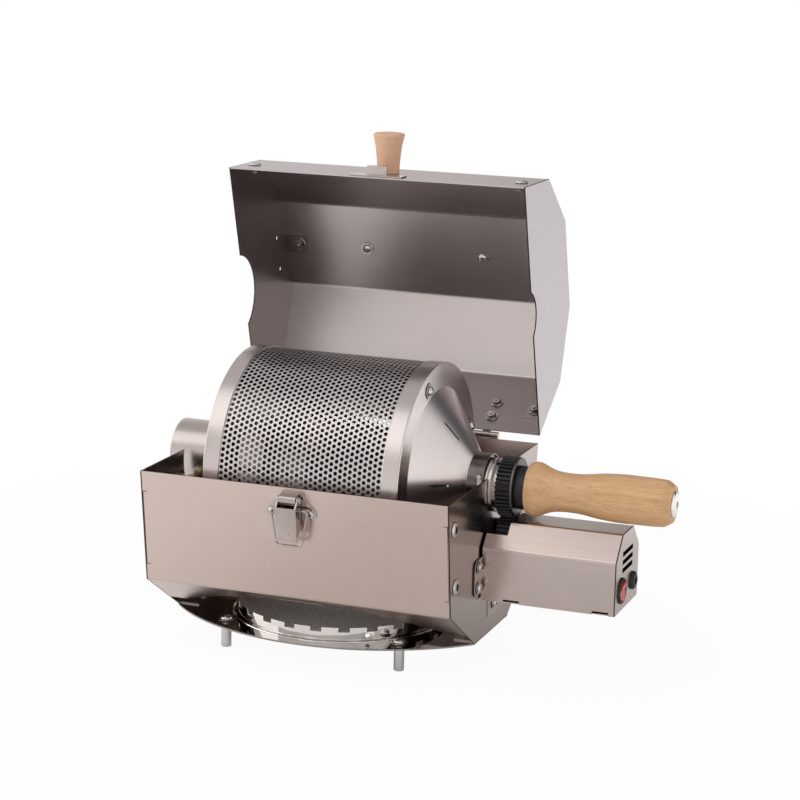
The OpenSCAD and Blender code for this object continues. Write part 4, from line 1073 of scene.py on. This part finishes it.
deliver(copies(screw_head(4.2, 2.6, washer=6.2), inner), "lid_inner_pan_heads", "lid_inner_screws")
worked("lid_top_nuts", "lid_cap_nuts", SCREW, angle=30)
print("lid screws", len(tab_spots))

# %% [markdown]
# The knob is a small tapered piece of beech, wider at its crowned end. It is turned about
# its own axis and then set on the lid's front panel.

# %% Knob and strike plate
KNOB = [(0, 9.6), (0.6, 10), (10, 10.4), (22, 11.6), (32, 13.6)]
crown = [(33.4 + 2.4 * math.sin(math.radians(a)), 11.7 + 2.5 * math.cos(math.radians(a)))
         for a in range(0, 91, 15)]
knob = soften(turned([(0, 0), *KNOB, *crown, (36.0, 6), (36.0, 0)], 64), 0, angle=50)
deliver(place(knob, lid_panel(0) @ move(0, KNOB_AT, 0)), "lid_knob_turned", "lid_knob", KNOB_WOOD)
worked("strike_plate", "strike_hook", LATCH_STEEL, 0.25)
print("knob placed")

# %% Hinges
HINGE_X, HINGE_ROWS, LEAF_T = 89, (17, 35), 1.5
worked("hinge_upper_leaves", "upper_hinge_leaves", LATCH_STEEL, 0.25)
worked("hinge_lower_leaves", "lower_hinge_leaves", LATCH_STEEL, 0.25)
worked("hinge_pins", "hinge_pin_ends", SCREW, 0.25)
lid_lean = math.atan(LID_FOLD_IN / (LID_FOLD_H - LID_GAP))
UP_LID = LID @ move(0, HALF_D, RIM_Z + LID_GAP) @ turn_x(math.radians(90) + lid_lean)
DOWN_BACK = move(0, HALF_D, RIM_Z) @ turn_x(math.radians(-90) - WALL_LEAN)
rows = [(x, s) for x in (-HINGE_X, HINGE_X) for s in HINGE_ROWS]
outer_heads = copies(screw_head(3.4, 1.8), [UP_LID @ move(x, s, -LEAF_T) @ FLIP for x, s in rows])
inner_nuts = copies(nut(4.3, 3.2, 1, 1.5, 5.8), [UP_LID @ move(x, s, SHEET) for x, s in rows])
deliver(join(outer_heads, inner_nuts), "lid_hinge_fasteners", "hinge_upper_screws")
deliver(copies(screw_head(3.4, 1.8, shank=5), [DOWN_BACK @ move(x, s, LEAF_T) for x, s in rows]),
        "body_hinge_screws", "hinge_lower_screws")
print("hinges dressed")

# %% [markdown]
# ## Latch
# A draw latch: a base plate with two lugs, a pressed lever on a pin, and a wire bail. The
# bail is a bent wire, so it is made as a path with rounded corners and then thickened.

# %% Latch base, lever and bail
worked("latch_base", "latch_base_plate", LATCH_STEEL, 0.3)
worked("latch_lever", "latch_lever_pressed", LATCH_STEEL, 0.3)
worked("latch_pivot_pin", "latch_pin_heads", SCREW)
LEVER_OUT, BAIL_DROP, WIRE_R, WIRE_BEND = 6, 17.5, 1.1, 3.2
bail_side = [(6.6, 0), (16.8, 0), (11.4, -31)]
corners = bail_side + [(-x, z) for x, z in bail_side[::-1]]
bail = chain([Vector((x, 0, z)) * MM for x, z in corners])
bpy.ops.mesh.bevel(offset=WIRE_BEND * MM, segments=6, affect="VERTICES")
settle(bail)
bpy.ops.object.convert(target="CURVE")
bail = bpy.context.object
bail.data.bevel_depth = WIRE_R * MM
bail.data.bevel_resolution = 4
bail.data.use_fill_caps = True
bpy.ops.object.convert(target="MESH")
bail = place(bpy.context.object, FRONT @ move(0, -LEVER_OUT, -BAIL_DROP) @ turn_x(-WALL_LEAN))
deliver(soften(bail, 0, angle=60, flat=False), "latch_wire_bail", "latch_bail", LATCH_STEEL)
LATCH_SCREW_X, LATCH_SCREW_DROP = 17.5, 21.5
latch_spots = [FRONT @ move(x, -1.5, -LATCH_SCREW_DROP) @ turn_x(math.radians(90))
               for x in (-LATCH_SCREW_X, LATCH_SCREW_X)]
deliver(copies(screw_head(3.3, 1.8), latch_spots), "latch_screw_heads", "latch_screws")
print("latch dressed")

# %% [markdown]
# ## Motor box
# A folded cover with an end plate. Through the end plate come the round switch, with its
# red rocker, and the power socket.

# %% Motor box
# The ears' thin edges, the cover's underside and the end plate's rim get painted shade.
def cover_edge_shade(centre, normal):
    on_ear = centre.x < HALF_W + SHEET + 0.05 and abs(normal.x) < 0.97
    return on_ear or normal.z < -0.9


def plate_edge_shade(centre, normal):
    return abs(normal.x) < 0.97


worked("motor_cover", "motor_box_cover", BOX_STEEL, dark=cover_edge_shade, fold=1.4)
worked("motor_end_plate", "motor_box_end", BOX_STEEL, 0.3, plate_edge_shade)
worked("motor_bottom_plate", "motor_box_floor", BOX_STEEL, 0.15)
worked("motor_bracket", "motor_bracket_bent", BOX_STEEL)
worked("gearbox", "gearbox_case", LEG_STEEL, 0.4)
worked("motor", "motor_can", NECK_STEEL, 0.4)
box_low, EAR_Y, EAR_ROWS, TONGUE_DROP = low("motor_cover", 2), 44, (13, 31.5), 12
ear_spots = [(side * EAR_Y, box_low + z) for side in (1, -1) for z in EAR_ROWS]
ear_spots.append((0, box_low - TONGUE_DROP))
box_places = [move(HALF_W + SHEET, y, z) @ TO_RIGHT for y, z in ear_spots]
deliver(copies(screw_head(4.2, 2.6, washer=5.6), box_places), "motor_box_screws", "motor_cover_screws")
print("motor box dressed")

# %% Switch and socket
def in_end_plate(node, outline, steps):
    """outline: points of (depth behind the node's outer end, radius)."""
    end, centre = high(node, 0), (middle(node, 1), middle(node, 2))
    return soften(turned([(end - depth, r) for depth, r in outline], steps, "X", centre), 0)


bezel = in_end_plate("switch_bezel", [
    (7, 9.2), (0.9, 9.2), (0.2, 9.6), (0, 10.1), (0.3, 10.9), (0.9, 11.4), (2, 11.5), (2, 9.8),
    (20, 9.8), (20, 0), (7, 0), (7, 9.2)], 72)
deliver(bezel, "round_switch_bezel", "switch_bezel", BLACK)
worked("rocker_button", "red_rocker", RED, 0.5, segments=3)
SOCKET_DEPTH = 11.5
jack = in_end_plate("dc_jack", [
    (SOCKET_DEPTH, 0), (SOCKET_DEPTH, 2.9), (0.5, 2.9), (0, 3.5), (0, 5.6), (0.9, 7.2), (2.2, 8),
    (3.5, 8), (3.5, 4), (17.5, 4), (17.5, 0)], 64)
pin = in_end_plate("dc_jack", [(SOCKET_DEPTH, 0), (SOCKET_DEPTH, 1), (3, 1), (2.6, 0.6), (2.6, 0)], 24)
deliver(jack, "power_socket", "dc_jack", BLACK)
deliver(pin, "power_socket_pin", "dc_jack", SCREW, stands_for=False)
print("pieces made:", len(made))

# %% [markdown]
# ## Studio
# A pale floor, a white background and soft lamps. Near the roaster the floor is partly a
# real surface, so it takes the roaster's shadow. Further out it turns into plain white,
# so there is no horizon. Light Path tells the floor which rays are looking at it.

# %% Floor
calm()
bpy.ops.mesh.primitive_plane_add(size=12, location=(0, 0, 0))
floor = bpy.context.object
floor.name = "studio_floor"
ground = Finish("studio_floor", 0.0, 0.8, (0.9, 0.895, 0.89))
glow = ground.tree.nodes.new("ShaderNodeEmission")
glow.inputs["Color"].default_value = (1, 1, 1, 1)
glow.inputs["Strength"].default_value = 1.0
camera_ray, glossy_ray, through_ray = ground.rays()
spot = ground.where()
far = ground.node("ShaderNodeVectorMath", {"operation": "LENGTH"}, {0: spot}, 1).within(300, 800)
# In reflections the floor near the roaster glows brighter towards the left: painted light, which lightens the
# left end of the front sheet.
painted_glow_left = ground.node("ShaderNodeSeparateXYZ", {}, {"Vector": spot}, 0).within(-40, -260)
painted_floor_glow = 0.12 + painted_glow_left * 0.85
seen = camera_ray * (0.95 + far * 0.05) + (glossy_ray + through_ray) * (painted_floor_glow + far * 0.85)
blend = ground.tree.nodes.new("ShaderNodeMixShader")
ground.tree.links.new(seen.socket, blend.inputs[0])
ground.tree.links.new(ground.surface.outputs[0], blend.inputs[1])
ground.tree.links.new(glow.outputs[0], blend.inputs[2])
ground.tree.links.new(blend.outputs[0], ground.tree.nodes["Material Output"].inputs["Surface"])
floor.data.materials.append(ground.material)

# %% [markdown]
# The world is a white room whose walls are brightest near the floor, with one dark screen
# behind to the right. The dark screen is what gives polished steel its contrast.

# %% World
world = bpy.data.worlds.new("studio")
scene.world = world
world.use_nodes = True


class Room(Finish):
    """The same shader maths, for the world's background."""

    def __init__(self, world):
        self.tree = world.node_tree
        self.surface = self.tree.nodes["Background"]


room = Room(world)
look = room.node("ShaderNodeTexCoord", {}, {}, "Generated")
height = room.node("ShaderNodeSeparateXYZ", {}, {"Vector": look}, "Z")
SCREEN = Vector((0.25, 0.93, 0.28)).normalized()
towards_screen = room.node("ShaderNodeVectorMath", {"operation": "DOT_PRODUCT"}, {0: look, 1: SCREEN},
                           "Value")
walls = height.within(0.05, 0.75, 1.0, 0.6) - towards_screen.within(0.82, 0.93) * 0.8
in_camera, in_gloss, through = room.rays()
room.set("Color", room.mix(in_camera, (1.0, 0.97, 0.955), (1, 1, 1)))
room.set("Strength", in_camera + (1 - in_camera) * walls * (0.86 + (in_gloss + through) * 0.12))

# %% Lamps
def lamp(name, spot, aim, size, power):
    light = bpy.data.lights.new(name, "AREA")
    light.shape = "RECTANGLE"
    light.size, light.size_y = size
    light.energy = power
    light.color = (1, 0.985, 0.97)
    holder = bpy.data.objects.new(name, light)
    scene.collection.objects.link(holder)
    holder.location = spot
    holder.rotation_euler = (Vector(aim) - Vector(spot)).to_track_quat("-Z", "Y").to_euler()


lamp("front_softbox", (-0.5, -0.84, 1.4), (0, 0, 0.2), (1.5, 1.0), 4.1)
lamp("left_softbox", (-1.25, -0.35, 0.5), (0, 0, 0.12), (1.2, 0.9), 4)
print("lamps set")

# %% [markdown]
# ## Camera
# The place, turn and lens come from matching the roaster's straight edges to the
# photograph: the camera stands to the right and looks a little down on the roaster.

# %% Camera
YAW, PITCH_DOWN, ROLL = (math.radians(a) for a in (20.19, 12.43, 1.26))
FOCAL_PIXELS, PICTURE_WIDTH, SENSOR_WIDTH = 2413.9, 800, 36
eye = Vector((0.75812, -1.92472, 0.67198))
level = math.cos(PITCH_DOWN)
forward = Vector((-math.sin(YAW) * level, math.cos(YAW) * level, -math.sin(PITCH_DOWN)))
right = Vector((math.cos(YAW), math.sin(YAW), 0))
up = right.cross(forward)
right, up = right * math.cos(ROLL) + up * math.sin(ROLL), up * math.cos(ROLL) - right * math.sin(ROLL)
view = bpy.data.cameras.new("photo_view")
view.sensor_width = SENSOR_WIDTH
view.lens = FOCAL_PIXELS / PICTURE_WIDTH * SENSOR_WIDTH
camera = bpy.data.objects.new("photo_view", view)
scene.collection.objects.link(camera)
camera.matrix_world = Matrix((
    (right.x, up.x, -forward.x, eye.x), (right.y, up.y, -forward.y, eye.y),
    (right.z, up.z, -forward.z, eye.z), (0, 0, 0, 1)))
scene.camera = camera
scene.view_settings.view_transform = "Standard"
print("lens", round(view.lens, 1))
